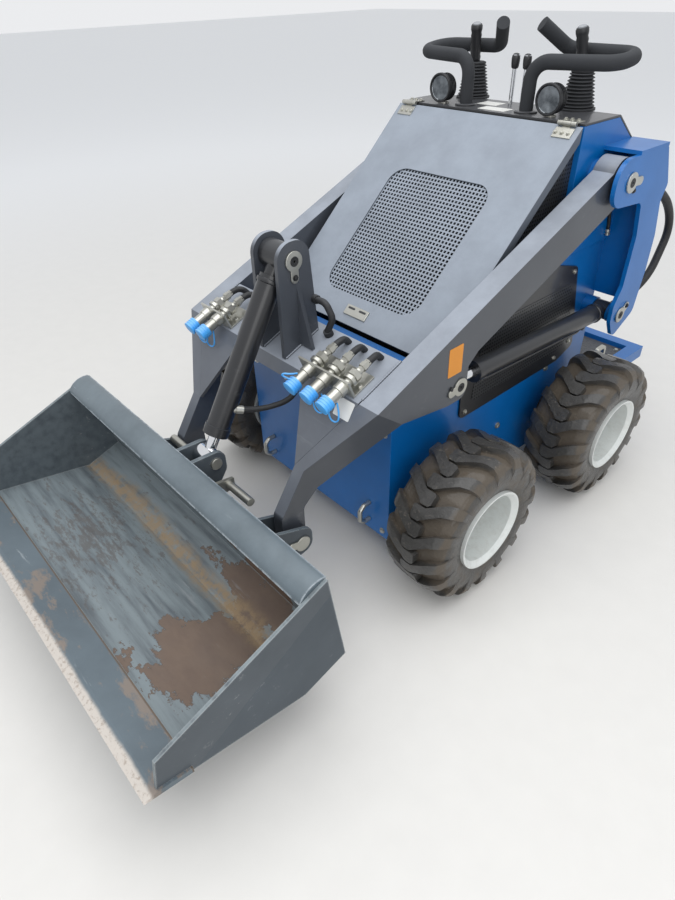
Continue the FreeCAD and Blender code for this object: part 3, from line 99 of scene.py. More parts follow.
class Graph:
    """Short calls that add and link the nodes of one tree."""

    def __init__(self, tree: Tree) -> None:
        """Keeps the tree that the calls work on."""
        self.tree = tree

    def add(self, kind: str, inputs: Optional[dict] = None, **settings: object) -> bpy.types.Node:
        """Adds one node.

        Args:
            kind: Blender's name of the node type.
            inputs: Values or output sockets by input name or index.
            **settings: Properties of the node.

        Returns:
            The new node.
        """
        made = self.tree.nodes.new(kind)
        for key, value in settings.items():
            setattr(made, key, value)
        for key, value in (inputs or {}).items():
            self.feed(value, made.inputs[key])
        return made

    def feed(self, value: object, into: Socket) -> None:
        """Gives an input a constant, or a link from an output.

        Args:
            value: A constant or an output socket.
            into: The input.
        """
        if isinstance(value, Socket):
            self.tree.links.new(value, into)
        else:
            into.default_value = value

    def math(self, operation: str, first: object, second: object = 0.0, clamp: bool = False) -> Socket:
        """One Math node's result."""
        made = self.add("ShaderNodeMath", {0: first, 1: second}, operation=operation, use_clamp=clamp)
        return made.outputs[0]

    def plus(self, first: object, second: object, clamp: bool = False) -> Socket:
        """The sum of two values."""
        return self.math("ADD", first, second, clamp)

    def minus(self, first: object, second: object, clamp: bool = False) -> Socket:
        """The first value less the second."""
        return self.math("SUBTRACT", first, second, clamp)

    def times(self, first: object, second: object, clamp: bool = False) -> Socket:
        """The product of two values."""
        return self.math("MULTIPLY", first, second, clamp)

    def higher(self, first: object, second: object) -> Socket:
        """The higher of two values."""
        return self.math("MAXIMUM", first, second)

    def reach(self, across: object, along: object) -> Socket:
        """Length of a flat vector."""
        return self.math("SQRT", self.plus(self.times(across, across), self.times(along, along)))

    def mix(self, share: object, first: object, second: object) -> Socket:
        """A colour between two, by a share from 0 to 1."""
        made = self.add("ShaderNodeMix", {0: share, 6: first, 7: second}, data_type="RGBA", clamp_factor=True)
        return made.outputs[2]

    def blend(self, share: object, first: object, second: object) -> Socket:
        """A value between two, by a share from 0 to 1."""
        return self.add("ShaderNodeMix", {0: share, 2: first, 3: second}, data_type="FLOAT").outputs[0]

    def step(self, value: object, low: float, high: float) -> Socket:
        """A smooth rise from 0 at low to 1 at high."""
        made = self.add("ShaderNodeMapRange", {0: value, 1: low, 2: high}, interpolation_type="SMOOTHSTEP")
        return made.outputs[0]

    def noise(self, where: object, scale: object, detail: float = 4.0, rough: float = 0.55) -> Socket:
        """Fractal noise from 0 to 1 at a place."""
        inputs = {"Vector": where, "Scale": scale, "Detail": detail, "Roughness": rough}
        return self.add("ShaderNodeTexNoise", inputs).outputs[0]

    def rest(self) -> Socket:
        """Place on the piece, in the machine's frame at rest."""
        return self.add("ShaderNodeTexCoord").outputs["Object"]

    def facing(self) -> Sequence[Socket]:
        """X, Y and Z of the surface's normal, in the machine's frame at rest."""
        return self.split(self.add("ShaderNodeTexCoord").outputs["Normal"])

    def split(self, vector: object) -> Sequence[Socket]:
        """X, Y and Z of a vector."""
        return self.add("ShaderNodeSeparateXYZ", {0: vector}).outputs

    def stretched(self, vector: object, scale: Point) -> Socket:
        """A vector with each side scaled."""
        return self.add("ShaderNodeVectorMath", {0: vector, 1: scale}, operation="MULTIPLY").outputs[0]

    def dot(self, first: object, second: object) -> Socket:
        """The dot product of two vectors."""
        return self.add("ShaderNodeVectorMath", {0: first, 1: second}, operation="DOT_PRODUCT").outputs[1]

    def bump(self, height: object, depth: float, strength: float) -> Socket:
        """A normal that follows a height."""
        inputs = {"Height": height, "Distance": depth, "Strength": strength}
        return self.add("ShaderNodeBump", inputs).outputs[0]


class Effect(Enum):
    """The surface effects that finishes share."""

    MOTTLE = "mottled tone"
    WEAR = "edge wear"
    # Dust on upward faces, which also paints a sky sheen there, and splashes near the ground.
    DUST_AND_TOP_SHEEN = "settled dust"
    SCUFFS = "scuff marks"
    GRAIN = "surface grain"


class Effects:
    """Builds each shared effect once, as a node group."""

    def __init__(self) -> None:
        """Starts with no group made."""
        self.made: dict[Effect, Tree] = {}

    def group(self, effect: Effect) -> Tree:
        """The node group of one effect, made at its first use.

        Args:
            effect: Which effect.

        Returns:
            Its tree.
        """
        if effect not in self.made:
            makers = {
                Effect.MOTTLE: self._mottle, Effect.WEAR: self._wear, Effect.DUST_AND_TOP_SHEEN: self._dust_and_top_sheen,
                Effect.SCUFFS: self._scuffs, Effect.GRAIN: self._grain,
            }
            self.made[effect] = makers[effect]()
        return self.made[effect]

    def place(self, graph: Graph, effect: Effect, **values: float) -> Socket:
        """Puts an effect in a material.

        Args:
            graph: The material's nodes.
            effect: Which effect.
            **values: The group's inputs, by name with underscores for spaces.

        Returns:
            The effect's one output.
        """
        made = graph.add("ShaderNodeGroup", node_tree=self.group(effect))
        for key, value in values.items():
            made.inputs[spoken(key)].default_value = value
        return made.outputs[0]

    @staticmethod
    def _start(effect: Effect, out: str, **inputs: float) -> tuple[Graph, bpy.types.Node, bpy.types.Node]:
        """A new group with its named sockets.

        Args:
            effect: The effect that it makes.
            out: Name of its output.
            **inputs: Each input's first value, by name with underscores for spaces.

        Returns:
            Its graph, its input node and its output node.
        """
        tree = bpy.data.node_groups.new(effect.value, "ShaderNodeTree")
        for key, value in inputs.items():
            socket = tree.interface.new_socket(spoken(key), in_out="INPUT", socket_type="NodeSocketFloat")
            socket.default_value = value
        tree.interface.new_socket(out, in_out="OUTPUT", socket_type="NodeSocketFloat")
        graph = Graph(tree)
        return graph, graph.add("NodeGroupInput"), graph.add("NodeGroupOutput")

    def _mottle(self) -> Tree:
        """Soft patches of tone.

        Returns:
            The effect's tree, which puts out the tone.
        """
        graph, given, out = self._start(Effect.MOTTLE, "Tone", scale=6.0, contrast=1.0)
        middle = 0.5
        broad = graph.noise(graph.rest(), given.outputs["Scale"], detail=5.0, rough=0.6)
        tone = graph.times(graph.minus(broad, middle), given.outputs["Contrast"])
        graph.feed(graph.plus(tone, middle, clamp=True), out.inputs[0])
        return graph.tree

    def _wear(self) -> Tree:
        """Bare edges: where a rounded normal leaves the true one, broken up by noise.

        Returns:
            The effect's tree, which puts out a mask.
        """
        graph, given, out = self._start(Effect.WEAR, "Mask", width=0.003, amount=0.5)
        rounded = graph.add("ShaderNodeBevel", {"Radius": given.outputs["Width"]}, samples=4).outputs[0]
        true = graph.add("ShaderNodeNewGeometry").outputs["Normal"]
        edge = graph.step(graph.minus(1.0, graph.dot(rounded, true)), low=0.02, high=0.22)
        breakup = graph.noise(graph.rest(), scale=38.0, detail=6.0, rough=0.7)
        limit = graph.minus(1.0, given.outputs["Amount"])
        soft_limit = graph.times(limit, 0.8)
        patch = graph.add("ShaderNodeMapRange", {0: breakup, 1: soft_limit, 2: limit}).outputs[0]
        graph.feed(graph.times(edge, patch, clamp=True), out.inputs[0])
        return graph.tree

    def _dust_and_top_sheen(self) -> Tree:
        """Dust and a painted sky sheen on upward faces, and splashes near the ground.

        Returns:
            The effect's tree, which puts out a mask.
        """
        graph, given, out = self._start(Effect.DUST_AND_TOP_SHEEN, "Mask", settled=0.4, splashed=0.4, splash_height=0.35)
        thin, full = 0.72, 1.0
        # Upward faces turn towards the dust colour: dust, and a painted sky sheen.
        upward = graph.step(graph.facing()[2], low=0.3, high=0.95)
        where = graph.rest()
        cloud = graph.step(graph.noise(where, scale=9.0, detail=6.0, rough=0.65), low=0.28, high=0.72)
        settled = graph.times(upward, given.outputs["Settled"])
        top = graph.times(settled, graph.blend(cloud, thin, full))
        height = graph.math("DIVIDE", graph.split(where)[2], given.outputs["Splash height"])
        near_ground = graph.minus(1.0, height, clamp=True)
        spots = graph.step(graph.noise(where, scale=46.0, detail=8.0, rough=0.7), low=0.42, high=0.68)
        mud = graph.times(graph.times(near_ground, spots), given.outputs["Splashed"])
        graph.feed(graph.plus(top, mud, clamp=True), out.inputs[0])
        return graph.tree

    def _scuffs(self) -> Tree:
        """Thin rubbed lines, long in one direction.

        Returns:
            The effect's tree, which puts out a mask.
        """
        graph, given, out = self._start(Effect.SCUFFS, "Mask", scale=30.0, amount=0.3)
        drawn_out = (0.12, 1.0, 1.6)
        where = graph.stretched(graph.rest(), drawn_out)
        line = graph.noise(where, given.outputs["Scale"], detail=9.0, rough=0.75)
        thin = graph.step(line, low=0.58, high=0.66)
        place = graph.step(graph.noise(graph.rest(), scale=5.0, detail=3.0), low=0.45, high=0.65)
        mask = graph.times(graph.times(thin, place), given.outputs["Amount"], clamp=True)
        graph.feed(mask, out.inputs[0])
        return graph.tree

    def _grain(self) -> Tree:
        """Height of fine grain, from 0 to 1.

        Returns:
            The effect's tree, which puts out a height.
        """
        graph, given, out = self._start(Effect.GRAIN, "Height", scale=300.0, wave=20.0)
        fine = graph.noise(graph.rest(), given.outputs["Scale"], detail=3.0, rough=0.6)
        slow = graph.noise(graph.rest(), given.outputs["Wave"], detail=2.0)
        graph.feed(graph.blend(0.5, fine, slow), out.inputs[0])
        return graph.tree


EFFECTS = Effects()


@dataclass(frozen=True)
class Finish:
    """One finish: its colour and how it is worn, dusty and grained, with a painted sky sheen on its upward
    faces.
    """

    name: str
    slot: str
    colour: str
    roughness: float
    metallic: float = 0.0
    coat: float = 0.0
    coat_roughness: float = 0.12
    dark: str = ""
    shade: float = 0.78
    duller: float = 1.18
    glossier: float = 0.9
    patch_scale: float = 5.0
    contrast: float = 1.6
    wear: float = 0.0
    wear_width: float = 0.003
    wear_colour: str = "8d8f90"
    wear_metal: float = 0.8
    # Upward share: dust and a painted sky sheen on top faces. Splashed share: mud near the ground. Both take
    # the colour below.
    settled: float = 0.0
    splashed: float = 0.0
    splash_height: float = 0.35
    dust_and_sheen_colour: str = "a59c8e"
    dust_roughness: float = 0.85
    scuffs: float = 0.0
    scuff_scale: float = 30.0
    scuff_colour: str = "9a9c9e"
    grain: float = 0.0002
    grain_scale: float = 350.0
    grain_strength: float = 0.6
    wave_length: float = 14

    def material(self) -> bpy.types.Material:
        """The finish's material, made at its first use."""
        known = bpy.data.materials.get(self.name)
        return known or self._make()

    def _make(self) -> bpy.types.Material:
        """Builds the node tree.

        Returns:
            The new material.
        """
        made = bpy.data.materials.new(self.name)
        made.use_nodes = True
        graph = Graph(made.node_tree)
        sockets = made.node_tree.nodes["Principled BSDF"].inputs
        sockets["Coat Weight"].default_value = self.coat
        sockets["Coat Roughness"].default_value = self.coat_roughness
        colour, rough, metal = self._base(graph)
        colour, rough, metal = self.dress(graph, colour, rough, metal)
        for name, value in (("Base Color", colour), ("Roughness", rough), ("Metallic", metal)):
            graph.feed(value, sockets[name])
        graph.feed(self.relief(graph), sockets["Normal"])
        return made

    def _base(self, graph: Graph) -> tuple:
        """The clean finish with its soft patches.

        Args:
            graph: The material's nodes.

        Returns:
            Its colour, roughness and metallic.
        """
        tone = EFFECTS.place(graph, Effect.MOTTLE, scale=self.patch_scale, contrast=self.contrast)
        light = opaque(self.colour)
        dark = opaque(self.dark) if self.dark else shaded(light, self.shade)
        colour = graph.mix(tone, dark, light)
        rough = graph.blend(tone, min(1.0, self.roughness * self.duller), self.roughness * self.glossier)
        return colour, rough, self.metallic

    def dress(self, graph: Graph, colour: object, rough: object, metal: object) -> tuple:
        """Adds scuffs, bare edges, and dust with a painted sky sheen over the base.

        Args:
            graph: The material's nodes.
            colour: Base colour so far.
            rough: Roughness so far.
            metal: Metallic so far.

        Returns:
            Colour, roughness and metallic after wear.
        """
        if self.scuffs:
            mask = EFFECTS.place(graph, Effect.SCUFFS, scale=self.scuff_scale, amount=self.scuffs)
            colour = graph.mix(mask, colour, opaque(self.scuff_colour))
        if self.wear:
            mask = EFFECTS.place(graph, Effect.WEAR, width=self.wear_width, amount=self.wear)
            colour = graph.mix(mask, colour, opaque(self.wear_colour))
            metal = graph.blend(mask, metal, self.wear_metal)
        if self.settled or self.splashed:
            mask = EFFECTS.place(graph, Effect.DUST_AND_TOP_SHEEN, settled=self.settled, splashed=self.splashed,
                                 splash_height=self.splash_height)
            # Painted sky sheen and dust on upward faces, mud splashes near the ground.
            colour = graph.mix(mask, colour, opaque(self.dust_and_sheen_colour))
            rough = graph.blend(mask, rough, self.dust_roughness)
            if isinstance(metal, Socket) or metal:
                metal = graph.blend(mask, metal, 0.0)
        return colour, rough, metal

    def grained(self, graph: Graph) -> Socket:
        """Height of the finish's grain, from 0 to 1."""
        wave = self.grain_scale / self.wave_length
        return EFFECTS.place(graph, Effect.GRAIN, scale=self.grain_scale, wave=wave)

    def relief(self, graph: Graph) -> Socket:
        """Normal of the surface with its grain."""
        return graph.bump(self.grained(graph), self.grain, self.grain_strength)


@dataclass(frozen=True)
class MudRubber(Finish):
    """Tyre rubber with mud kept in its grooves, told by the mesh's mud attribute."""

    mud: str = "54463a"
    dry_mud: str = "8a755c"
    groove_share: float = 0.55
    cloud_share: float = 0.8
    dry_share: float = 0.6
    damp_roughness: float = 0.9
    clod_height: float = 0.005
    clod_strength: float = 0.95

    def dress(self, graph: Graph, colour: object, rough: object, metal: object) -> tuple:
        """Adds damp mud and dry crumbs.

        Args:
            graph: The material's nodes.
            colour: Base colour so far.
            rough: Roughness so far.
            metal: Metallic so far.

        Returns:
            Colour, roughness and metallic with the mud.
        """
        packed = graph.add("ShaderNodeAttribute", attribute_name="mud").outputs["Fac"]
        cloud = graph.noise(graph.rest(), scale=21.0, detail=8.0, rough=0.7)
        held = graph.plus(graph.times(packed, self.groove_share), graph.times(cloud, self.cloud_share))
        damp = graph.step(held, low=0.62, high=0.9)
        colour = graph.mix(damp, colour, opaque(self.mud))
        crumbs = graph.step(graph.noise(graph.rest(), scale=95.0, detail=6.0, rough=0.75), low=0.55, high=0.7)
        places = graph.step(graph.noise(graph.rest(), scale=8.0, detail=3.0), low=0.48, high=0.68)
        dry = graph.times(graph.times(crumbs, places), self.dry_share)
        colour = graph.mix(dry, colour, opaque(self.dry_mud))
        return colour, graph.blend(damp, rough, self.damp_roughness), metal

    def relief(self, graph: Graph) -> Socket:
        """Normal with clods and fine grit."""
        clods = graph.noise(graph.rest(), scale=60.0, detail=9.0, rough=0.68)
        return graph.bump(clods, self.clod_height, self.clod_strength)


@dataclass(frozen=True)
class WornBucket(Finish):
    """Bucket paint: slate outside, rubbed, rusty and dirty inside."""

    inside: str = "7d888c"
    rust: str = "57443a"
    old_rust: str = "7a6655"
    rust_rim: str = "2b2420"
    dirt: str = "947c5a"
    end_gain: float = -2.0
    ragged_share: float = 0.8
    near_share: float = 0.42
    faint_reach: float = 0.14
    rubbed_share: float = 0.88
    end_share: float = 0.7
    rim_share: float = 0.6
    faint_share: float = 0.55
    dirt_share: float = 0.85
    spoiled_roughness: float = 0.88
    bend_y: float = -0.735
    bend_width: float = 0.040
    bend_core: float = 0.006
    bend_sway: float = 0.09
    dirty_height: float = 0.33
    dirty_fade: float = 0.03
    rust_spots: tuple[Spot, Spot] = ((0.325, -0.865, 0.25, 0.31), (0.28, -0.68, 0.30, 0.10))
    faint_spot: Spot = (-0.20, -0.89, 0.34, 0.22)
    crease_foot: Flat = (-0.982, 0.241)
    crease_way: Flat = (0.855, 0.519)
    crease_slope: float = 0.42
    relief_strength: float = 0.8
    end_plate_x: float = 0.5475
    plate_skin: float = 0.001

    @staticmethod
    def _spot(graph: Graph, x: object, y: object, spot: Spot) -> Socket:
        """How deep a point is in an oval spot.

        Args:
            graph: The material's nodes.
            x: The point's X.
            y: The point's Y.
            spot: Middle X, middle Y and half widths along both.

        Returns:
            1 at its middle, 0 at its rim and less outside.
        """
        across = graph.math("DIVIDE", graph.minus(x, spot[0]), spot[2])
        along = graph.math("DIVIDE", graph.minus(y, spot[1]), spot[3])
        return graph.minus(1.0, graph.reach(across, along))

    def _rusted(self, graph: Graph, low: Socket) -> tuple[Socket, Socket]:
        """The rust on the bucket's floor.

        Args:
            graph: The material's nodes.
            low: 1 where the floor shows.

        Returns:
            Its mask and its colour.
        """
        place = graph.rest()
        x, y, _ = graph.split(place)
        ragged = graph.noise(graph.stretched(place, (0.7, 1.0, 1.0)), scale=14.0, detail=12.0, rough=0.68)
        near = graph.higher(*(self._spot(graph, x, y, spot) for spot in self.rust_spots))
        share = graph.plus(graph.times(ragged, self.ragged_share), graph.times(near, self.near_share))
        rust = graph.times(graph.step(share, low=0.61, high=0.62), low)
        freckles = graph.noise(graph.stretched(place, (0.4, 1.2, 1.2)), scale=50.0, detail=10.0, rough=0.75)
        middle = graph.times(self._spot(graph, x, y, self.faint_spot), self.faint_reach)
        faint = graph.plus(middle, freckles)
        faint = graph.times(graph.times(graph.step(faint, low=0.57, high=0.66), low), self.faint_share)
        streaks = graph.noise(graph.stretched(place, (0.5, 1.0, 1.0)), scale=24.0, detail=9.0, rough=0.72)
        tone = graph.mix(streaks, opaque(self.rust), opaque(self.old_rust))
        rim = graph.times(graph.step(share, low=0.635, high=0.615), self.rim_share)
        return graph.higher(rust, faint), graph.mix(rim, tone, opaque(self.rust_rim))

    def _dirty(self, graph: Graph, low: Socket) -> Socket:
        """The dirt left in the floor's bend.

        Args:
            graph: The material's nodes.
            low: 1 where the floor shows.

        Returns:
            Its mask.
        """
        place = graph.rest()
        y = graph.split(place)[1]
        uneven = graph.minus(graph.noise(place, scale=5.0, detail=8.0, rough=0.7), 0.5)
        waves = graph.times(uneven, self.bend_sway)
        away = graph.math("ABSOLUTE", graph.plus(graph.minus(y, self.bend_y), waves))
        line = graph.step(away, low=self.bend_width, high=self.bend_core)
        clumps = graph.step(graph.noise(place, scale=34.0, detail=9.0, rough=0.75), low=0.34, high=0.56)
        return graph.times(graph.times(line, low), clumps)

    def dress(self, graph: Graph, colour: object, rough: object, metal: object) -> tuple:
        """Adds the rubbed inside, its rust and the dirt left in the bend.

        Args:
            graph: The material's nodes.
            colour: Base colour so far.
            rough: Roughness so far.
            metal: Metallic so far.

        Returns:
            Colour, roughness and metallic after use.
        """
        place = graph.rest()
        x, _, z = graph.split(place)
        normal = graph.facing()
        inward = graph.times(graph.times(x, normal[0]), self.end_gain)
        ends = graph.step(inward, low=0.3, high=0.6)
        open_side = graph.higher(graph.step(normal[2], low=0.1, high=0.4), ends)
        forward = graph.step(graph.times(normal[1], -1.0), low=0.5, high=0.8)
        open_side = graph.higher(open_side, forward)
        sweep = graph.noise(graph.stretched(place, (0.10, 1.0, 1.0)), scale=42.0, detail=7.0, rough=0.6)
        middle = graph.minus(open_side, graph.times(ends, self.end_share))
        bare = graph.times(middle, graph.step(sweep, low=0.22, high=0.66))
        colour = graph.mix(graph.times(bare, self.rubbed_share), colour, opaque(self.inside))
        under = graph.step(z, low=self.dirty_height, high=self.dirty_height - self.dirty_fade)
        low = graph.times(graph.times(open_side, under), graph.minus(1.0, ends))
        rust, tone = self._rusted(graph, low)
        colour = graph.mix(rust, colour, tone)
        dirt = self._dirty(graph, low)
        colour = graph.mix(graph.times(dirt, self.dirt_share), colour, opaque(self.dirt))
        rough = graph.blend(graph.higher(rust, dirt), rough, self.spoiled_roughness)
        return super().dress(graph, colour, rough, metal)

    def relief(self, graph: Graph) -> Socket:
        """Normal with the grain and the crease across each end plate.

        Args:
            graph: The material's nodes.

        Returns:
            The normal.
        """
        x, y, z = graph.split(graph.rest())
        grain = graph.times(self.grained(graph), self.grain)
        outward = graph.times(graph.minus(y, self.crease_foot[0]), self.crease_way[1])
        upward = graph.times(graph.minus(z, self.crease_foot[1]), self.crease_way[0])
        below = graph.higher(graph.minus(outward, upward), 0.0)
        outer = graph.step(graph.math("ABSOLUTE", x), low=self.end_plate_x - self.plate_skin,
                           high=self.end_plate_x)
        crease = graph.times(graph.times(below, self.crease_slope), outer)
        return graph.bump(graph.plus(grain, crease), 1.0, self.relief_strength)


@dataclass(frozen=True)
class RubbedEdge(Finish):
    """Paint on the cutting edge, worn to pale pitted steel at its front."""

    bare: str = "c3bcb4"
    pits: str = "8a7a6c"
    pit_share: float = 0.6
    rust_share: float = 0.7
    bare_from: float = -1.100
    bare_to: float = -1.110
    bare_sway: float = 0.014
    bare_roughness: float = 0.62
    seam: str = "5d4d3c"
    seam_share: float = 0.8
    seam_from: float = -1.0275
    seam_to: float = -1.0255

    def dress(self, graph: Graph, colour: object, rough: object, metal: object) -> tuple:
        """Adds the bare front, its pits and the dirty seam behind.

        Args:
            graph: The material's nodes.
            colour: Base colour so far.
            rough: Roughness so far.
            metal: Metallic so far.

        Returns:
            Colour, roughness and metallic after use.
        """
        place = graph.rest()
        y = graph.split(place)[1]
        uneven = graph.minus(graph.noise(place, scale=9.0, detail=8.0, rough=0.7), 0.5)
        shifted = graph.plus(y, graph.times(uneven, self.bare_sway))
        front = graph.step(shifted, low=self.bare_from, high=self.bare_to)
        pitted = graph.step(graph.noise(place, scale=120.0, detail=6.0, rough=0.7), low=0.5, high=0.66)
        steel = graph.mix(graph.times(pitted, self.pit_share), opaque(self.bare), opaque(self.pits))
        streaks = graph.noise(graph.stretched(place, (0.5, 1.0, 1.0)), scale=12.0, detail=9.0, rough=0.7)
        rusty = graph.times(graph.step(streaks, low=0.52, high=0.6), self.rust_share)
        colour = graph.mix(rusty, colour, opaque(self.pits))
        dirty = graph.times(graph.step(y, low=self.seam_from, high=self.seam_to), self.seam_share)
        colour = graph.mix(dirty, colour, opaque(self.seam))
        colour = graph.mix(front, colour, steel)
        return super().dress(graph, colour, graph.blend(front, rough, self.bare_roughness), metal)


@dataclass(frozen=True)
class PunchedSheet(Finish):
    """Black sheet with rows of round holes, painted near-black as shade instead of cut."""

    pitch: float = 0.0105
    hole: float = 0.0032
    rim: float = 0.82
    dimple: float = 0.0015

    def _holes(self, graph: Graph) -> Socket:
        """The holes on one side of the machine.

        Args:
            graph: The material's nodes.

        Returns:
            1 inside a hole and 0 on the sheet.
        """
        _, y, z = graph.split(graph.rest())
        half = self.pitch / 2
        away = [graph.minus(half, graph.math("PINGPONG", value, half)) for value in (y, z)]
        return graph.step(graph.reach(*away), low=self.hole, high=self.hole * self.rim)

    def dress(self, graph: Graph, colour: object, rough: object, metal: object) -> tuple:
        """Paints the holes near-black: painted shade for the dark behind them.

        Args:
            graph: The material's nodes.
            colour: Base colour so far.
            rough: Roughness so far.
            metal: Metallic so far.

        Returns:
            Colour, roughness and metallic with the holes.
        """
        colour, rough, metal = super().dress(graph, colour, rough, metal)
        hole = self._holes(graph)
        return graph.mix(hole, colour, HOLE_PAINTED_SHADE), graph.blend(hole, rough, 1.0), metal

    def relief(self, graph: Graph) -> Socket:
        """Normal that dips at the holes' rims."""
        return graph.bump(graph.minus(1.0, self._holes(graph)), self.dimple, 1.0)


@dataclass(frozen=True)
class TreadSheet(Finish):
    """Painted sheet with raised bars that cross, as on a step."""

    pitch: float = 0.030
    bar_height: float = 0.002

    def relief(self, graph: Graph) -> Socket:
        """Normal with the raised bars.

        Args:
            graph: The material's nodes.

        Returns:
            The normal.
        """
        x, y, _ = graph.split(graph.rest())
        half = self.pitch / 2
        bars = []
        for first, second, shift in ((x, y, 0.0), (y, x, half)):
            across = graph.math("PINGPONG", graph.plus(first, shift), half)
            along = graph.math("PINGPONG", graph.plus(second, shift), half)
            thin = graph.step(across, low=0.0035, high=0.0018)
            bars.append(graph.times(thin, graph.step(along, low=0.0105, high=0.0085)))
        return graph.bump(graph.higher(*bars), self.bar_height, 1.0)


@dataclass(frozen=True)
class Braid(Finish):
    """Rubber hose with the print of its braid."""

    cords: float = 900.0
    cord_height: float = 0.0006
    cord_strength: float = 0.5

    def relief(self, graph: Graph) -> Socket:
        """Normal with fine crossing cords.

        Args:
            graph: The material's nodes.

        Returns:
            The normal.
        """
        place = graph.rest()
        rising = graph.dot(place, (self.cords, self.cords, self.cords))
        falling = graph.dot(place, (self.cords, -self.cords, self.cords))
        crossed = graph.times(graph.math("SINE", rising), graph.math("SINE", falling))
        return graph.bump(crossed, self.cord_height, self.cord_strength)


@dataclass(frozen=True)
class LampGlass(Finish):
    """Clear lens with moulded ribs."""

    ribs: float = 1100.0
    rib_height: float = 0.0008
    rib_strength: float = 0.6

    def relief(self, graph: Graph) -> Socket:
        """Normal with upright ribs."""
        wave = graph.math("SINE", graph.times(graph.split(graph.rest())[0], self.ribs))
        return graph.bump(wave, self.rib_height, self.rib_strength)


# In these finishes the upward dust share also paints a sky sheen on top faces.
BLUE = Finish("blue paint", "blue_paint", "0068b4", 0.32, coat=0.15, dark="005a9e", wear=0.2,
              wear_width=0.002, settled=0.05, splashed=0.10, splash_height=0.28, dust_and_sheen_colour="5f6d7c",
              scuffs=0.03, grain=0.0001)
# The grey's upward faces turn pale bluish grey: a painted sky sheen with some dust.
GREY = Finish("grey paint", "dark_paint", "44484f", 0.38, coat=0.3, dark="3a3e45", wear=0.25,
              wear_width=0.002, settled=0.78, splashed=0.2, dust_and_sheen_colour="a2a9b4", scuffs=0.14)
# Lighter than the arms' grey, partly as painted sky light on the hood's top; its upward faces get a strong
# painted sky sheen.
SKYLIT_HOOD_GREY = Finish("hood paint", "dark_paint", "5b616a", 0.4, coat=0.2, dark="535962", wear=0.15,
                   wear_width=0.0015, settled=0.92, dust_and_sheen_colour="a1aab6", scuffs=0.06, grain=0.00015)
BLACK = Finish("black paint", "black_paint", "222326", 0.33, coat=0.35, wear=0.2, wear_width=0.002,
               settled=0.3, splashed=0.12, dust_and_sheen_colour="6f7176", scuffs=0.1)
SLATE = Finish("bucket paint", "bucket_paint", "4c545b", 0.5, dark="3c4349", wear=0.6, wear_width=0.005,
               wear_colour="8f979b", wear_metal=0.3, settled=0.3, dust_and_sheen_colour="7e8a90", scuffs=0.5,
               grain=0.0004)
STEEL = RubbedEdge("worn steel", "worn_steel", "65727a", 0.5, metallic=0.1, dark="505a61", scuffs=0.6,
                   scuff_colour="a9b0b3", grain=0.0006, grain_scale=120.0)
IRON = Finish("engine paint", "engine_grey", "3a3c3f", 0.6, splashed=0.3, grain=0.0005)
CAST = Finish("cast black", "cast_black", "1d1e20", 0.55, wear=0.3, splashed=0.5, grain=0.0006,
              grain_scale=160.0)
CYLINDER = Finish("cylinder black", "cylinder_black", "1c1d20", 0.33, coat=0.25, wear=0.15, settled=0.2,
                  dust_and_sheen_colour="63666b", scuffs=0.08)
CHROME = Finish("chrome", "chrome", "d8dadd", 0.09, metallic=1.0, dark="c9ccd0", grain=0.00003)
ZINC = Finish("zinc plate", "zinc", "c8c8c2", 0.3, metallic=0.85, dark="9d9c93", scuffs=0.3, wear=0.2,
              wear_colour="e6e5df", grain=0.00015)
SILVER = Finish("rim silver", "rim_silver", "e2e5e3", 0.3, metallic=0.2, coat=0.3, dark="d0d4d2",
                splashed=0.3, splash_height=0.40, dust_and_sheen_colour="8d8475", grain=0.0001)
RUBBER = MudRubber("tyre rubber", "tyre", "454442", 0.42, coat=0.4, dark="2c2b2a", mud="544c42",
                   dry_mud="958c7e")
FOAM = Finish("bar foam", "foam", "2e3034", 0.92, dark="27292c", settled=0.2, dust_and_sheen_colour="55585c",
              grain=0.0008, grain_scale=700.0)
SOFT_RUBBER = Finish("soft rubber", "black_rubber", "232427", 0.6, settled=0.3, dust_and_sheen_colour="5d6064",
                     grain=0.0003)
PLASTIC = Finish("black plastic", "black_plastic", "1f2023", 0.42, settled=0.25, dust_and_sheen_colour="5d6064",
                 grain=0.0004, grain_scale=500.0)
# The pale blue on its upward faces is a painted sky sheen.
CAP_BLUE = Finish("cap blue", "cap_blue", "52aef2", 0.42, dark="429fe6", settled=0.3, dust_and_sheen_colour="b9cfe0",
                  scuffs=0.15)
BUCKET = WornBucket("bucket paint inside and out", "bucket_paint", "4c545b", 0.5, dark="3c4349", wear=0.65,
                    wear_width=0.006, wear_colour="949a9c", wear_metal=0.3, settled=0.12,
                    dust_and_sheen_colour="8a9296", scuffs=0.55, grain=0.0005)
TREAD_PLATE = TreadSheet("tread plate", "dark_paint", "3a3c40", 0.5, wear=0.4, settled=0.4,
                         dust_and_sheen_colour="6f7072")
PUNCHED = PunchedSheet("punched sheet", "black_paint", "2b2d30", 0.38, coat=0.3, settled=0.2,
                       dust_and_sheen_colour="5f6369")
HOSE = Braid("braided hose", "black_rubber", "1e1f21", 0.5, settled=0.15, dust_and_sheen_colour="505357")
# Lighter than the bucket paint, with pale scuffs and worn edges: rubbed wear, plus a painted highlight along
# the crest.
RUBBED_LIP_WITH_PAINTED_HIGHLIGHT = Finish("rubbed lip", "bucket_paint", "5d6a72", 0.36, coat=0.2, dark="48545b", patch_scale=9.0,
             contrast=2.4, scuffs=0.9, scuff_colour="c3cbd0", wear=0.5, wear_width=0.008,
             wear_colour="b4bdc3", wear_metal=0.2, settled=0.2, dust_and_sheen_colour="8a9296", grain=0.0005,
             grain_scale=120.0)
# Near-black matt sheet behind the hood grille's holes: painted shade.
GRILLE_SHADE_BLACK = Finish("grille painted shade", "black_rubber", "0b0b0c", 0.95)
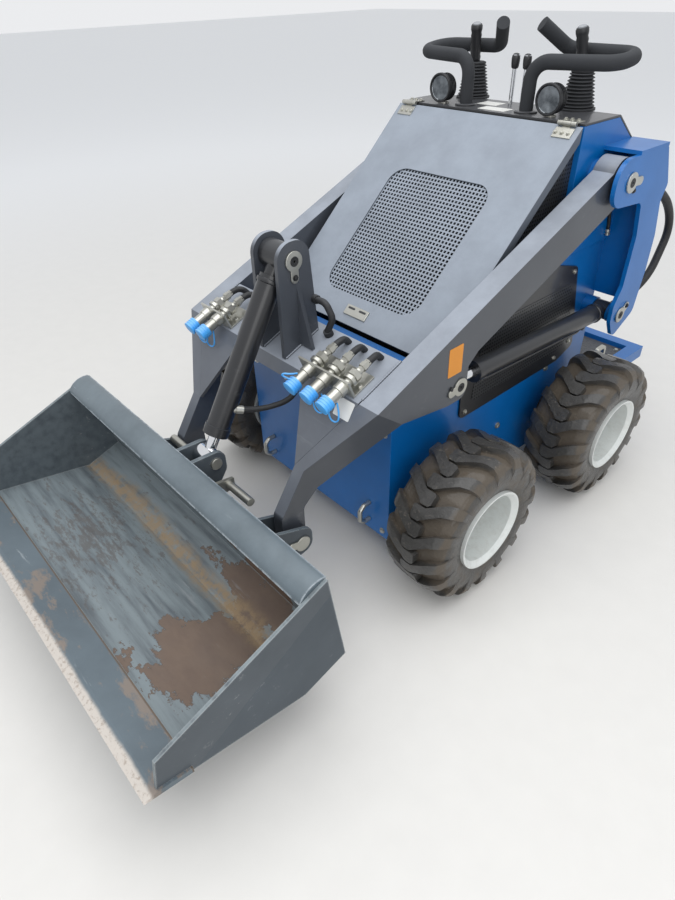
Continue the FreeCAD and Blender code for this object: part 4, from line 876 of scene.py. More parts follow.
# A darker, mottled copy of the chrome: painted shade and dark reflections inside the lamps.
REFLECTOR = Finish("lamp reflector", "chrome", "8f9498", 0.14, metallic=1.0, dark="4a4e52", patch_scale=40.0,
                   contrast=2.2)
GLASS = LampGlass("lamp lens", "black_plastic", "b9c0c6", 0.08, coat=1.0, dark="7b8289")
WHITE_LABEL = Finish("white label", "black_plastic", "e6e6e2", 0.4, settled=0.2, dust_and_sheen_colour="b9b9b4",
                     scuffs=0.15)
ORANGE_LABEL = Finish("orange label", "black_plastic", "e2922c", 0.4, settled=0.15, dust_and_sheen_colour="b9a767",
                      scuffs=0.15)
YELLOW_LABEL = Finish("yellow label", "black_plastic", "e8c42e", 0.4, settled=0.15, dust_and_sheen_colour="b9a767",
                      scuffs=0.15)
BUTTON_GREY = Finish("button grey", "black_plastic", "9a9da1", 0.45)

NODE_FINISHES: tuple[tuple[Finish, tuple[str, ...]], ...] = (
    (BLUE, ("chassis_tub", "console", "rear_post_left", "rear_post_right", "step_frame")),
    (SKYLIT_HOOD_GREY, ("hood",)),
    (GREY, ("lift_arm_left", "lift_arm_right", "cross_member", "tilt_tower")),
    (BLACK, ("side_panels", "control_deck", "hood_grille")),
    (PUNCHED, ("side_meshes",)),
    (TREAD_PLATE, ("step_plate",)),
    (BUCKET, ("bucket_shell",)),
    (SLATE, ("bucket_brackets",)),
    (STEEL, ("cutting_edge",)),
    (IRON, ("engine",)),
    (CAST, ("wheel_motors",)),
    (CAP_BLUE, ("coupler_caps",)),
    (CYLINDER, ("tilt_barrel", "lift_barrel_left", "lift_barrel_right")),
    (CHROME, ("tilt_rod", "lift_rod_left", "lift_rod_right", "levers")),
    (ZINC, ("post_pins", "lift_pins", "tilt_pin", "bucket_pins", "tie_rings", "deck_hinges", "hood_hinges",
            "hood_latch", "couplers", "lock_bars")),
    (SILVER, ("rim_front_left", "rim_front_right", "rim_rear_left", "rim_rear_right")),
    (RUBBER, ("tyre_front_left", "tyre_front_right", "tyre_rear_left", "tyre_rear_right")),
    (FOAM, ("grab_bars",)),
    (SOFT_RUBBER, ("joysticks", "tower_hose")),
    (PLASTIC, ("lamps",)),
)


class Shape:
    """A mesh in the making, in the machine's frame."""

    def __init__(self) -> None:
        """Starts an empty mesh."""
        self.mesh = bmesh.new()

    def skin(self, rings: Sequence[Sequence[Vector]], around: bool = False) -> None:
        """Joins closed rings of points with faces, and fills the ends unless the last ring joins the first.

        Args:
            rings: Rings with the same number of points each.
            around: Whether the last ring joins the first.
        """
        rows = [[self.mesh.verts.new(point) for point in ring] for ring in rings]
        count = len(rows[0])
        pairs = list(zip(rows, rows[1:])) + ([(rows[-1], rows[0])] if around else [])
        for first, second in pairs:
            for i in range(count):
                j = (i + 1) % count
                self.mesh.faces.new((first[i], first[j], second[j], second[i]))
        if not around:
            self.mesh.faces.new(list(reversed(rows[0])))
            self.mesh.faces.new(rows[-1])

    def lathe(self, origin: Point, along: Point, profile: Sequence[Flat], sides: int = 32) -> None:
        """Turns a profile about an axis.

        Args:
            origin: Where the axis starts.
            along: Direction of the axis.
            profile: Distance along the axis and radius of each ring.
            sides: Flats around.
        """
        turn = Vector(along).to_track_quat("Z", "Y").to_matrix()
        angles = [FULL_TURN * i / sides for i in range(sides)]
        rings = []
        for reach, radius in profile:
            rings.append([Vector(origin) + turn @ Vector((radius * math.cos(a), radius * math.sin(a), reach))
                          for a in angles])
        self.skin(rings)

    def bend(self, points: Sequence[Point], radius: float) -> None:
        """Adds a hose, strap or pipe on a smooth curve.

        Args:
            points: The curve's control points.
            radius: Half its thickness.
        """
        mesh = soft_curve(points, radius)
        self.mesh.from_mesh(mesh)
        bpy.data.meshes.remove(mesh)

    def block(self, low: Point, high: Point) -> None:
        """Adds a box between its lowest and its highest corner."""
        corners = ((low[0], low[1]), (high[0], low[1]), (high[0], high[1]), (low[0], high[1]))
        self.skin([[Vector((x, y, z)) for x, y in corners] for z in (low[2], high[2])])

    def item(self, name: str, finish: Finish) -> bpy.types.Object:
        """Turns the mesh into an object with its finish.

        Args:
            name: Name of the piece.
            finish: Its finish.

        Returns:
            The new object.
        """
        bmesh.ops.recalc_face_normals(self.mesh, faces=self.mesh.faces)
        mesh = bpy.data.meshes.new(name)
        self.mesh.to_mesh(mesh)
        self.mesh.free()
        made = bpy.data.objects.new(name, mesh)
        bpy.context.scene.collection.objects.link(made)
        mesh.materials.append(finish.material())
        mesh.shade_smooth()
        return made

    def finish(self, name: str, body: str, finish: Finish, smooth: float = 40.0) -> bpy.types.Object:
        """Turns the mesh into a piece that rides on a body.

        Args:
            name: Name of the piece.
            body: The body that it moves with.
            finish: Its finish.
            smooth: Angle above which an edge stays sharp.

        Returns:
            The new object.
        """
        made = self.item(name, finish)
        made.data.set_sharp_from_angle(angle=math.radians(smooth))
        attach(made, body)
        LOG.info("piece %s on %s", name, body)
        return made


def round_edges(item: bpy.types.Object, width: float) -> None:
    """Rounds a piece's sharp edges and keeps its flat faces flat.

    Args:
        item: The piece.
        width: Width of the rounding.
    """
    bevel = item.modifiers.new("rounded edges", "BEVEL")
    bevel.width = width
    bevel.segments = 2
    bevel.limit_method = "ANGLE"
    bevel.angle_limit = math.radians(32.0)
    item.modifiers.new("even shading", "WEIGHTED_NORMAL").keep_sharp = False


def join_faces(item: bpy.types.Object) -> None:
    """Makes each flat side of a piece one face.

    Args:
        item: The piece.
    """
    weld = item.modifiers.new("joined faces", "WELD")
    weld.merge_threshold = 2e-5
    flat = item.modifiers.new("whole faces", "DECIMATE")
    flat.decimate_type = "DISSOLVE"
    flat.angle_limit = math.radians(0.3)


def dress_nodes() -> None:
    """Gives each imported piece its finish, and rounds the edges of the plate work."""
    plate_work = {BLUE.name, GREY.name, SKYLIT_HOOD_GREY.name, SLATE.name, BLACK.name, ZINC.name}
    plate_rounding = 0.0012
    for finish, names in NODE_FINISHES:
        for name in names:
            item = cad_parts[name]
            item.data.materials.clear()
            item.data.materials.append(finish.material())
            if finish.name in plate_work:
                join_faces(item)
                round_edges(item, plate_rounding)
            LOG.info("finish %s on %s", finish.name, name)


@dataclass
class Tyre:
    """A chunky tyre with interlocking chevron lugs and mud in its grooves."""

    centre_x: float = 0.450
    radius: float = 0.228
    pitches: int = 16
    # Lug outline as stations: distance across at the front edge, along it, then the same at the rear edge.
    lug_stations: tuple = (
        (-22, 11, -22, 38), (-15, 3, -16, 42), (6, 3, 12, 42), (20, 14, 24, 50), (58, 42, 66, 79),
        (86, 52, 88, 87), (112, 58, 112, 90), (132, 60, 132, 88))
    lug_across: int = 4
    station_step: float = 9
    foot_spread: float = 2.6
    foot_depth: float = 2.0
    # Section of the carcass and of the lugs' tops, from the middle out and down the side.
    carcass: tuple = (
        (0, 206.5), (45, 205.5), (72, 201), (88, 191), (95, 176), (97, 160), (95, 142), (90, 126), (87, 117),
        (86, 105))
    crown: tuple = (
        (0, 228), (48, 227), (70, 223), (86, 214), (95, 200), (98.5, 184), (98.5, 168), (96.5, 152))
    carcass_steps: tuple = (0, 22, 45, 60, 74, 84, 92, 100, 110, 120, 132, 144, 156, 170, 182)
    carcass_sides: int = 112
    bead_bore: float = 0.1045
    bead_half: float = 0.086
    rough_scale: float = 55
    rough_height: float = 0.0011
    rough_from: float = 0.15
    groove_depth: float = 0.022
    shoulder_radius: float = 0.185
    side_mud: float = 0.55

    @staticmethod
    def along(section: tuple, reach: float) -> Flat:
        """Point of a section at a distance from its middle, measured along it, in metres.

        Args:
            section: Offsets across and radii, in millimetres.
            reach: Distance in millimetres.

        Returns:
            Offset across and radius.
        """
        left = abs(reach)
        for (x0, r0), (x1, r1) in zip(section, section[1:]):
            span = math.hypot(x1 - x0, r1 - r0)
            if left <= span:
                share = left / span
                return (math.copysign((x0 + (x1 - x0) * share) * MM, reach), (r0 + (r1 - r0) * share) * MM)
            left -= span
        return (math.copysign(section[-1][0] * MM, reach), section[-1][1] * MM)

    def build(self, name: str, body: str, axle: Vector, spin: float) -> None:
        """Builds one tyre.

        Args:
            name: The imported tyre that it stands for.
            body: The wheel's body.
            axle: Middle of the tyre.
            spin: Turn of the tread pattern, in radians.
        """
        shape = Shape()
        self._carcass(shape)
        for index in range(self.pitches):
            start = FULL_TURN * index / self.pitches
            self._lug(shape, 1, start, index)
            self._lug(shape, -1, start + math.pi / self.pitches, index + self.pitches)
        rng = random.Random(name)
        shift = Vector((rng.random(), rng.random(), rng.random())) * 5
        turn = Matrix.Rotation(spin, 3, "X")
        for vert in shape.mesh.verts:
            radial = math.hypot(vert.co.y, vert.co.z)
            rough = noise.fractal(vert.co * self.rough_scale + shift, 1.0, 2.0, 3)
            if radial > self.rough_from:
                vert.co += vert.co.normalized() * rough * self.rough_height
            vert.co = turn @ vert.co
            vert.co += axle
        made = shape.finish(f"{name}_tread", body, RUBBER, smooth=32.0)
        self._mark_mud(made, axle)
        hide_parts(name)

    def _carcass(self, shape: Shape) -> None:
        """Adds the body of the tyre, closed at its bore.

        Args:
            shape: The tyre's mesh.
        """
        half = [self.along(self.carcass, reach) for reach in self.carcass_steps]
        section = [(-x, r) for x, r in reversed(half[1:])] + half
        section += [(self.bead_half, self.bead_bore), (-self.bead_half, self.bead_bore)]
        rings = []
        for i in range(self.carcass_sides):
            a = FULL_TURN * i / self.carcass_sides
            rings.append([Vector((x, r * math.sin(a), r * math.cos(a))) for x, r in section])
        shape.skin(rings, around=True)

    def _lug_rows(self) -> list[list[Flat]]:
        """The lug's outline as rows of points.

        Returns:
            Rows from the middle to the shoulder, each from the front edge to the rear one, in millimetres.
        """
        length = FULL_TURN * self.radius / self.pitches / MM
        stations = []
        for first, second in zip(self.lug_stations, self.lug_stations[1:]):
            steps = max(1, round(abs(second[0] - first[0]) / self.station_step))
            stations += [[a + (b - a) * k / steps for a, b in zip(first, second)] for k in range(steps)]
        stations.append(list(self.lug_stations[-1]))
        rows = []
        for u0, v0, u1, v1 in stations:
            row = []
            for k in range(self.lug_across + 1):
                share = k / self.lug_across
                u, v = u0 + (u1 - u0) * share, v0 + (v1 - v0) * share
                row.append((u, v - length / 2))
            rows.append(row)
        return rows

    @staticmethod
    def _border(rows: Sequence[Sequence]) -> list:
        """The outer points of a grid.

        Args:
            rows: The grid's rows.

        Returns:
            Its first row, last column, last row and first column, once around.
        """
        last_row = [rows[-1][k] for k in range(len(rows[-1]) - 2, -1, -1)]
        return (list(rows[0]) + [row[-1] for row in rows[1:]] + last_row
                + [row[0] for row in rows[-2:0:-1]])

    def _lug(self, shape: Shape, hand: int, start: float, seed: int) -> None:
        """Adds one lug on one half of the tread.

        Args:
            shape: The tyre's mesh.
            hand: 1 or -1, the half of the tread.
            start: Where it lies around the tyre, in radians.
            seed: Seed of its wear.
        """
        wear = random.Random(seed).uniform(-0.6, 0.4)
        rows = self._lug_rows()
        border = self._border(rows)
        middle = (sum(p[0] for p in border) / len(border), sum(p[1] for p in border) / len(border))

        def at(section: tuple, u: float, v: float, lift: float) -> Vector:
            """Place of a point of the lug on the turned tyre.

            Args:
                section: The section that it lies on.
                u: Distance across, in millimetres.
                v: Distance around, in millimetres.
                lift: Distance above the section, in millimetres.

            Returns:
                The place, about the tyre's middle.
            """
            x, r = self.along(section, u)
            a = start + v * MM / self.radius
            r += lift * MM
            return Vector((x * hand, r * math.sin(a), r * math.cos(a)))

        top = [[shape.mesh.verts.new(at(self.crown, u, v, wear)) for u, v in row] for row in rows]
        for first, second in zip(top, top[1:]):
            for k in range(self.lug_across):
                shape.mesh.faces.new((first[k], first[k + 1], second[k + 1], second[k]))
        edge = self._border(top)
        foot = []
        for u, v in border:
            away = Vector((u - middle[0], v - middle[1])).normalized() * self.foot_spread
            foot.append(shape.mesh.verts.new(at(self.carcass, u + away.x, v + away.y, -self.foot_depth)))
        count = len(edge)
        for i in range(count):
            j = (i + 1) % count
            shape.mesh.faces.new((edge[i], edge[j], foot[j], foot[i]))

    def _mark_mud(self, made: bpy.types.Object, axle: Vector) -> None:
        """Writes how much mud each point holds, most in the grooves.

        Args:
            made: The tyre.
            axle: Its middle.
        """
        marks = made.data.attributes.new("mud", "FLOAT", "POINT")
        values = []
        for vert in made.data.vertices:
            radial = math.hypot(vert.co.y - axle.y, vert.co.z - axle.z)
            depth = max(0.0, min(1.0, (self.radius - radial) / self.groove_depth))
            values.append(depth * (self.side_mud if radial < self.shoulder_radius else 1.0))
        marks.data.foreach_set("value", values)


@dataclass
class Wheels:
    """The four tyres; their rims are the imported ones."""

    # Each axle's end of the machine, its Y and the turn of its tyres' tread.
    axles: tuple[tuple[str, float, float], ...] = (("front", -0.105, 0.12), ("rear", 0.525, 0.31))
    centre_z: float = 0.228

    def build(self) -> None:
        """Builds each tyre at its axle."""
        tyre = Tyre()
        for end, y, spin in self.axles:
            for hand, side in SIDES:
                axle = Vector((tyre.centre_x * side, y, self.centre_z))
                tyre.build(f"tyre_{end}_{hand}", f"wheel_{end}_{hand}", axle, spin * side)


@dataclass
class HoodGrille:
    """The hood's square-perforated sheet."""

    top_y: float = 0.402
    top_z: float = 1.100
    slope: float = 42.3
    half_width: float = 0.191
    start: float = 0.188
    end: float = 0.621
    depth: float = 0.004
    sheet: float = 0.003
    pitch: float = 0.0117
    hole: float = 0.0072
    backing_inset: float = 0.006
    backing_levels: Flat = (0.016, 0.020)

    def place(self, across: float, down: float, over: float) -> Vector:
        """Machine place of a point given on the hood's slope.

        Args:
            across: Distance to the machine's left.
            down: Distance down the slope.
            over: Height above it.

        Returns:
            The place.
        """
        angle = math.radians(self.slope)
        return Vector((across, self.top_y - down * math.cos(angle) - over * math.sin(angle),
                       self.top_z - down * math.sin(angle) + over * math.cos(angle)))

    def build(self) -> None:
        """Builds the sheet with a wall around each hole, and the near-black sheet of painted shade behind it.
        """
        shape = Shape()
        columns = int(2 * self.half_width / self.pitch)
        rows = int((self.end - self.start) / self.pitch)
        left = -columns * self.pitch / 2
        top = (self.start + self.end) / 2 - rows * self.pitch / 2
        margin = (self.pitch - self.hole) / 2
        edges = (0, margin, margin + self.hole)
        grid: dict[tuple[int, int, int], bmesh.types.BMVert] = {}

        def vert(i: int, j: int, level: int) -> bmesh.types.BMVert:
            """The shared vertex of a place in the grid.

            Args:
                i: Its column line, three to a hole.
                j: Its row line, three to a hole.
                level: 0 at the front of the sheet, 1 at its back.

            Returns:
                The vertex.
            """
            key = (i, j, level)
            if key not in grid:
                cell_x, edge_x = divmod(i, 3)
                cell_y, edge_y = divmod(j, 3)
                x = left + cell_x * self.pitch + edges[edge_x]
                y = top + cell_y * self.pitch + edges[edge_y]
                grid[key] = shape.mesh.verts.new(self.place(x, y, -self.depth - level * self.sheet))
            return grid[key]

        def wall(first: Sequence[int], second: Sequence[int], order: int = 1) -> None:
            """Adds a face through the sheet between two places of the grid, turned over for order -1."""
            corners = (vert(*first, 0), vert(*second, 0), vert(*second, 1), vert(*first, 1))
            shape.mesh.faces.new(corners[::order])

        for ci in range(columns):
            for cj in range(rows):
                i, j = ci * 3, cj * 3
                outer = ((i, j), (i + 3, j), (i + 3, j + 3), (i, j + 3))
                inner = ((i + 1, j + 1), (i + 2, j + 1), (i + 2, j + 2), (i + 1, j + 2))
                for k in range(4):
                    m = (k + 1) % 4
                    shape.mesh.faces.new((vert(*outer[k], 0), vert(*outer[m], 0), vert(*inner[m], 0),
                                          vert(*inner[k], 0)))
                    shape.mesh.faces.new((vert(*outer[k], 1), vert(*inner[k], 1), vert(*inner[m], 1),
                                          vert(*outer[m], 1)))
                    wall(inner[k], inner[m])
        for ci in range(columns):
            for j, order in ((0, 1), (rows * 3, -1)):
                wall((ci * 3, j), (ci * 3 + 3, j), order)
        for cj in range(rows):
            for i, order in ((0, 1), (columns * 3, -1)):
                wall((i, cj * 3), (i, cj * 3 + 3), order)
        self._backing()
        made = shape.finish("hood_grille_mesh", "hood", SKYLIT_HOOD_GREY, smooth=30.0)
        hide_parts("hood_grille")

    def _backing(self) -> None:
        """Builds the near-black sheet behind the holes: painted shade for the dark under the hood."""
        reach = self.half_width - self.backing_inset
        low, high = self.start + self.backing_inset, self.end - self.backing_inset
        corners = ((-reach, low), (reach, low), (reach, high), (-reach, high))
        shape = Shape()
        shape.skin([[self.place(x, down, -level) for x, down in corners] for level in self.backing_levels])
        shape.finish("grille_backing", "hood", GRILLE_SHADE_BLACK)


def soft_curve(points: Sequence[Point], radius: float) -> bpy.types.Mesh:
    """A round hose or pipe on one smooth curve.

    Args:
        points: The curve's control points; it starts and ends in the first and last.
        radius: Half its thickness.

    Returns:
        Its mesh.
    """
    curve = bpy.data.curves.new("soft curve", "CURVE")
    curve.dimensions = "3D"
    curve.resolution_u = 10
    curve.bevel_depth = radius
    curve.bevel_resolution = 5
    curve.use_fill_caps = True
    spline = curve.splines.new("NURBS")
    spline.points.add(len(points) - 1)
    for held, point in zip(spline.points, points):
        held.co = (*point, 1.0)
    spline.order_u = 3
    spline.use_endpoint_u = True
    item = bpy.data.objects.new("soft curve", curve)
    mesh = bpy.data.meshes.new_from_object(item)
    bpy.data.objects.remove(item)
    bpy.data.curves.remove(curve)
    return mesh


def surface_at(above: Point, towards: Point) -> Optional[tuple[Vector, Vector]]:
    """The surface met from a point in a direction.

    Args:
        above: Where to look from.
        towards: Which way to look.

    Returns:
        Its place and normal, or nothing.
    """
    ahead = Vector(towards).normalized()
    met, place, normal, *_ = bpy.context.scene.ray_cast(
        bpy.context.evaluated_depsgraph_get(), Vector(above), ahead)
    if not met:
        LOG.warning("nothing met from %s", above)
        return None
    return place, normal if normal.dot(ahead) < 0 else -normal


@dataclass(frozen=True)
class Bolts:
    """Hex bolts with washers, set on whatever surface lies ahead of them."""

    name: str
    body: str
    towards: Point
    places: tuple[Point, ...]
    radius: float = 0.008
    finish: Finish = ZINC
    sunk: float = 0.0005
    washer: float = 0.002

    def build(self) -> None:
        """Builds the bolts as one piece."""
        r = self.radius
        washer = ((0, r * 1.45), (0.0022, r * 1.4))
        head = ((0, r), (r * 0.6, r), (r * 0.75, r * 0.8))
        shape = Shape()
        for place in self.places:
            spot = surface_at(place, self.towards)
            if spot is None:
                continue
            foot, normal = spot
            low = foot - normal * self.sunk
            shape.lathe(low, normal, washer, sides=18)
            shape.lathe(low + normal * self.washer, normal, head, sides=6)
        shape.finish(self.name, self.body, self.finish, smooth=25.0)


@dataclass(frozen=True)
class Label:
    """A blank plate or film with round corners, laid on a surface."""

    name: str
    body: str
    above: Point
    towards: Point
    along: Point
    width: float
    height: float
    finish: Finish
    corner: float = 0.003
    thick: float = 0.0007
    sunk: float = 0.0006

    def _outline(self) -> list[Flat]:
        """The plate's outline.

        Returns:
            Its points about the middle, four to a corner and one more.
        """
        outline = []
        for sx, sy, start in ((1, 1, 0), (-1, 1, 90), (-1, -1, 180), (1, -1, 270)):
            for k in range(5):
                angle = math.radians(start + 22.5 * k)
                outline.append((sx * (self.width / 2 - self.corner) + self.corner * math.cos(angle),
                                sy * (self.height / 2 - self.corner) + self.corner * math.sin(angle)))
        return outline

    def build(self) -> None:
        """Builds the plate."""
        spot = surface_at(self.above, self.towards)
        if spot is None:
            return
        place, normal = spot
        side = Vector(self.along)
        side = (side - normal * side.dot(normal)).normalized()
        upward = normal.cross(side)
        shape = Shape()
        shape.skin([[place + side * x + upward * y + normal * level for x, y in self._outline()]
                    for level in (-self.sunk, self.thick)])
        shape.finish(self.name, self.body, self.finish, smooth=30.0)


@dataclass(frozen=True)
class Hose:
    """A hydraulic hose through points, with crimped ends."""

    name: str
    body: str
    points: tuple[Point, ...]
    radius: float = 0.0085
    crimp: float = 0.030
    second_body: str = ""

    def build(self) -> None:
        """Builds the hose and its ends."""
        shape = Shape()
        shape.bend(self.points, self.radius)
        if self.second_body:
            self._between(shape)
        else:
            shape.finish(self.name, self.body, HOSE)
        if self.crimp:
            self._crimps()

    def _crimps(self) -> None:
        """Builds the crimped ends."""
        r = self.radius
        profile = ((0, r * 1.1), (0.0, r * 1.5), (0.006, r * 1.5), (0.007, r * 1.25), (0.009, r * 1.25),
                   (0.010, r * 1.42), (self.crimp * 0.95, r * 1.35), (self.crimp, r * 1.05))
        ends = ((self.points[0], self.points[1], self.body),
                (self.points[-1], self.points[-2], self.second_body or self.body))
        for index, (at, ahead, body) in enumerate(ends):
            shape = Shape()
            shape.lathe(at, Vector(ahead) - Vector(at), profile, sides=16)
            shape.finish(f"{self.name}_crimp_{index + 1}", body, ZINC)

    def _between(self, shape: Shape) -> None:
        """Makes the hose one piece in the machine's frame, on no body, and logs its two bodies.

        Args:
            shape: The hose's mesh.
        """
        made = shape.item(self.name, HOSE)
        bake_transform(made)
        LOG.info("hose %s between %s and %s", self.name, self.body, self.second_body)


@dataclass(frozen=True)
class Weld:
    """A rippled weld bead along a line."""

    points: tuple[Point, ...]
    radius: float = 0.0032
    step: float = 0.0022
    ripple: float = 0.16
    ripple_rate: float = 1.9
    unevenness: float = 0.12
    uneven_scale: float = 90

    def add(self, shape: Shape) -> None:
        """Adds the bead to a mesh.

        Args:
            shape: The mesh.
        """
        line = []
        for first, second in zip(self.points, self.points[1:]):
            a, b = Vector(first), Vector(second)
            steps = max(2, round((b - a).length / self.step))
            line += [a.lerp(b, k / steps) for k in range(steps)]
        line.append(Vector(self.points[-1]))
        ahead = (line[-1] - line[0]).normalized()
        side = ahead.orthogonal().normalized()
        upward = ahead.cross(side)
        angles = [math.pi * k / 4 for k in range(8)]
        rings = []
        for index, at in enumerate(line):
            ripple = self.ripple * math.sin(index * self.ripple_rate)
            uneven = self.unevenness * noise.noise(at * self.uneven_scale)
            wide = self.radius * (1.0 + ripple + uneven)
            rings.append([at + (side * math.cos(a) + upward * math.sin(a)) * wide for a in angles])
        shape.skin(rings)


@dataclass
class LiftArms:
    """Couplers, caps, hoses, welds and plates on the lift arms."""

    front_y: float = -0.378
    front_z: float = 0.648
    slope: float = 22.4
    lift: float = 0.030
    couplers: tuple[float, ...] = (0.168, 0.226, 0.282, -0.218, -0.272)
    arm_side: float = 0.326
    # Start, length, radius and flats of each nut or collar of a coupler.
    nuts: tuple[tuple[float, float, float, int], ...] = (
        (-0.052, 0.016, 0.0165, 6), (-0.032, 0.010, 0.0185, 24), (-0.012, 0.007, 0.0158, 24))
    nut_edge: float = 0.0012
    nut_end: float = 0.93
    cap_rings: tuple[float, ...] = (0.044, 0.051, 0.058, 0.065)
    cap_ring: tuple[Flat, ...] = ((0, 0.0172), (0.0008, 0.0192), (0.0034, 0.0192), (0.0042, 0.0172))
    # Sideways sway of each cap's strap, in the couplers' order. The first strap stands up, the others hang.
    strap_sway: tuple[float, ...] = (-0.014, 0.010, 0.006, -0.008, 0.012)
    strap_radius: float = 0.0021
    elbow: tuple[Flat, ...] = (
        (0, 0.0085), (0.012, 0.0085), (0.012, 0.0115), (0.024, 0.0115), (0.024, 0.0095), (0.034, 0.0095))
    elbow_start: float = 0.056
    hose_spread: float = 0.97
    tilt_hose: tuple[Point, ...] = (
        (0.075, -0.352, 0.646), (0.076, -0.350, 0.590), (0.070, -0.375, 0.543), (0.050, -0.440, 0.536),
        (0.032, -0.490, 0.545), (0.018, -0.524, 0.556))
    lift_hose: tuple[Point, ...] = (
        (0.352, -0.150, 0.583), (0.352, -0.196, 0.570), (0.350, -0.245, 0.574), (0.344, -0.286, 0.592))
    weld_rise: float = 0.0008
    weld_inset: float = 0.0012
    tower_sides: Flat = (0.0528, 0.0392)
    bracket_plate: Flat = (-0.121, 0.681)
    # Distances across and along of the bolts on the couplers' plate.
    bolts: tuple[Flat, ...] = (
        (0.140, 0.036), (0.197, 0.066), (0.254, 0.066), (0.296, 0.036), (-0.194, 0.036), (-0.245, 0.066),
        (-0.292, 0.036))

    def at(self, across: float, along: float, over: float) -> Vector:
        """Machine place of a point given on the slope of the arms' top faces.

        Args:
            across: Distance to the machine's left.
            along: Distance up the slope.
            over: Height above it.

        Returns:
            The place.
        """
        angle = math.radians(self.slope)
        return Vector((across, self.front_y + along * math.cos(angle) - over * math.sin(angle),
                       self.front_z + along * math.sin(angle) + over * math.cos(angle)))

    def way(self, along: float, over: float) -> Vector:
        """Direction given on the slope, in the machine's frame."""
        return self.at(0, along, over) - self.at(0, 0, 0)

    def build(self) -> None:
        """Builds the arms' details."""
        self._couplers()
        self._caps()
        self._elbows()
        self._hoses()
        self._welds()
        self._plates()
        self._pins()

    def _couplers(self) -> None:
        """Hex nuts, grooved collars and the balls' mouths of the couplers."""
        shape = Shape()
        forward = self.way(-1, 0)
        for x in self.couplers:
            for start, length, radius, sides in self.nuts:
                end = radius * self.nut_end
                profile = ((0, end), (self.nut_edge, radius), (length - self.nut_edge, radius), (length, end))
                shape.lathe(self.at(x, -start, self.lift), forward, profile, sides=sides)
        shape.finish("coupler_nuts", "lift_arms", ZINC, smooth=25.0)

    def _strap(self, x: float, sway: float, raised: bool) -> list[Vector]:
        """The loop of a cap's strap.

        Args:
            x: The coupler's X.
            sway: How far the loop leans sideways.
            raised: Whether it stands up.

        Returns:
            The loop's control points.
        """
        reach = 0.036 if raised else -0.062
        start = 0.018 if raised else -0.018
        end = 0.016 if raised else -0.016
        return [self.at(x, -0.052, self.lift + start),
                self.at(x + sway - 0.010, -0.060, self.lift + reach * 0.7),
                self.at(x + sway, -0.056, self.lift + reach),
                self.at(x + sway + 0.012, -0.046, self.lift + reach * 0.8),
                self.at(x + sway * 0.5 + 0.004, -0.030, self.lift + end)]

    def _caps(self) -> None:
        """Ribbed rims of the caps and their strap loops."""
        shape = Shape()
        forward = self.way(-1, 0)
        for index, (x, sway) in enumerate(zip(self.couplers, self.strap_sway)):
            for start in self.cap_rings:
                shape.lathe(self.at(x, -start, self.lift), forward, self.cap_ring, sides=26)
            shape.bend(self._strap(x, sway, raised=index == 0), self.strap_radius)
        shape.finish("coupler_cap_rims", "lift_arms", CAP_BLUE, smooth=40.0)

    def _elbows(self) -> None:
        """Elbows behind the couplers."""
        shape = Shape()
        backward = self.way(1, 0)
        for x in self.couplers:
            shape.lathe(self.at(x, self.elbow_start, self.lift), backward, self.elbow, sides=6)
        shape.finish("coupler_elbows", "lift_arms", ZINC, smooth=25.0)

    def _hoses(self) -> None:
        """Hoses behind the couplers, to the tilt cylinder and to the lift cylinders."""
        for index, x in enumerate(self.couplers):
            tail = x * self.hose_spread
            points = (self.at(x, 0.086, self.lift), self.at(x, 0.108, self.lift - 0.001),
                      self.at(tail, 0.126, self.lift - 0.014), self.at(tail, 0.131, -0.004))
            Hose(f"coupler_hose_{index + 1}", "lift_arms", tuple(tuple(point) for point in points),
                 crimp=0.0).build()
        Hose("tilt_hose", "lift_arms", self.tilt_hose, radius=0.0075, second_body="tilt_barrel").build()
        for hand, side in SIDES:
            points = tuple((x * side, y, z) for x, y, z in self.lift_hose)
            Hose(f"lift_hose_{hand}", "lift_arms", points, radius=0.0075, crimp=0.026).build()

    def _bead(self, shape: Shape, x: float, start: float, end: float) -> None:
        """Adds a weld bead up the slope, at an X."""
        Weld((tuple(self.at(x, start, self.weld_rise)), tuple(self.at(x, end, self.weld_rise)))).add(shape)

    def _welds(self) -> None:
        """Beads at the cross member's ends and the tower's feet."""
        shape = Shape()
        seam = self.arm_side - self.weld_inset
        for _, side in SIDES:
            self._bead(shape, seam * side, 0.012, 0.145)
            for reach in self.tower_sides:
                self._bead(shape, reach * side, 0.010, 0.125)
        shape.finish("arm_welds", "lift_arms", GREY, smooth=60.0)

    def _plates(self) -> None:
        """Blank plates and the bolts of the couplers' plate."""
        for hand, side in SIDES:
            Label(f"bracket_plate_{hand}", "lift_arms", (0.45 * side, *self.bracket_plate), (-side, 0, 0),
                  (0, -1, -0.02), width=0.050, height=0.076, finish=ORANGE_LABEL).build()
        Label("cross_label", "lift_arms", (0.290, -0.60, 0.625), REARWARD, LEFTWARD,
              width=0.052, height=0.044, finish=WHITE_LABEL).build()
        places = tuple(tuple(self.at(x, along, 0.2)) for x, along in self.bolts)
        Bolts("coupler_bolts", "lift_arms", tuple(self.way(0, -1)), places, radius=0.0055).build()

    def _pins(self) -> None:
        """Ends of the pins in their keepers."""
        for name, body, place, screw in PIN_ENDS:
            for hand, side in SIDES:
                PinEnd(f"{name}_{hand}", body, side, place, screw).build()
        PinEnd("tilt_pin_end", "lift_arms", 1, (-0.327, 0.890), (-0.327, 0.851)).build()


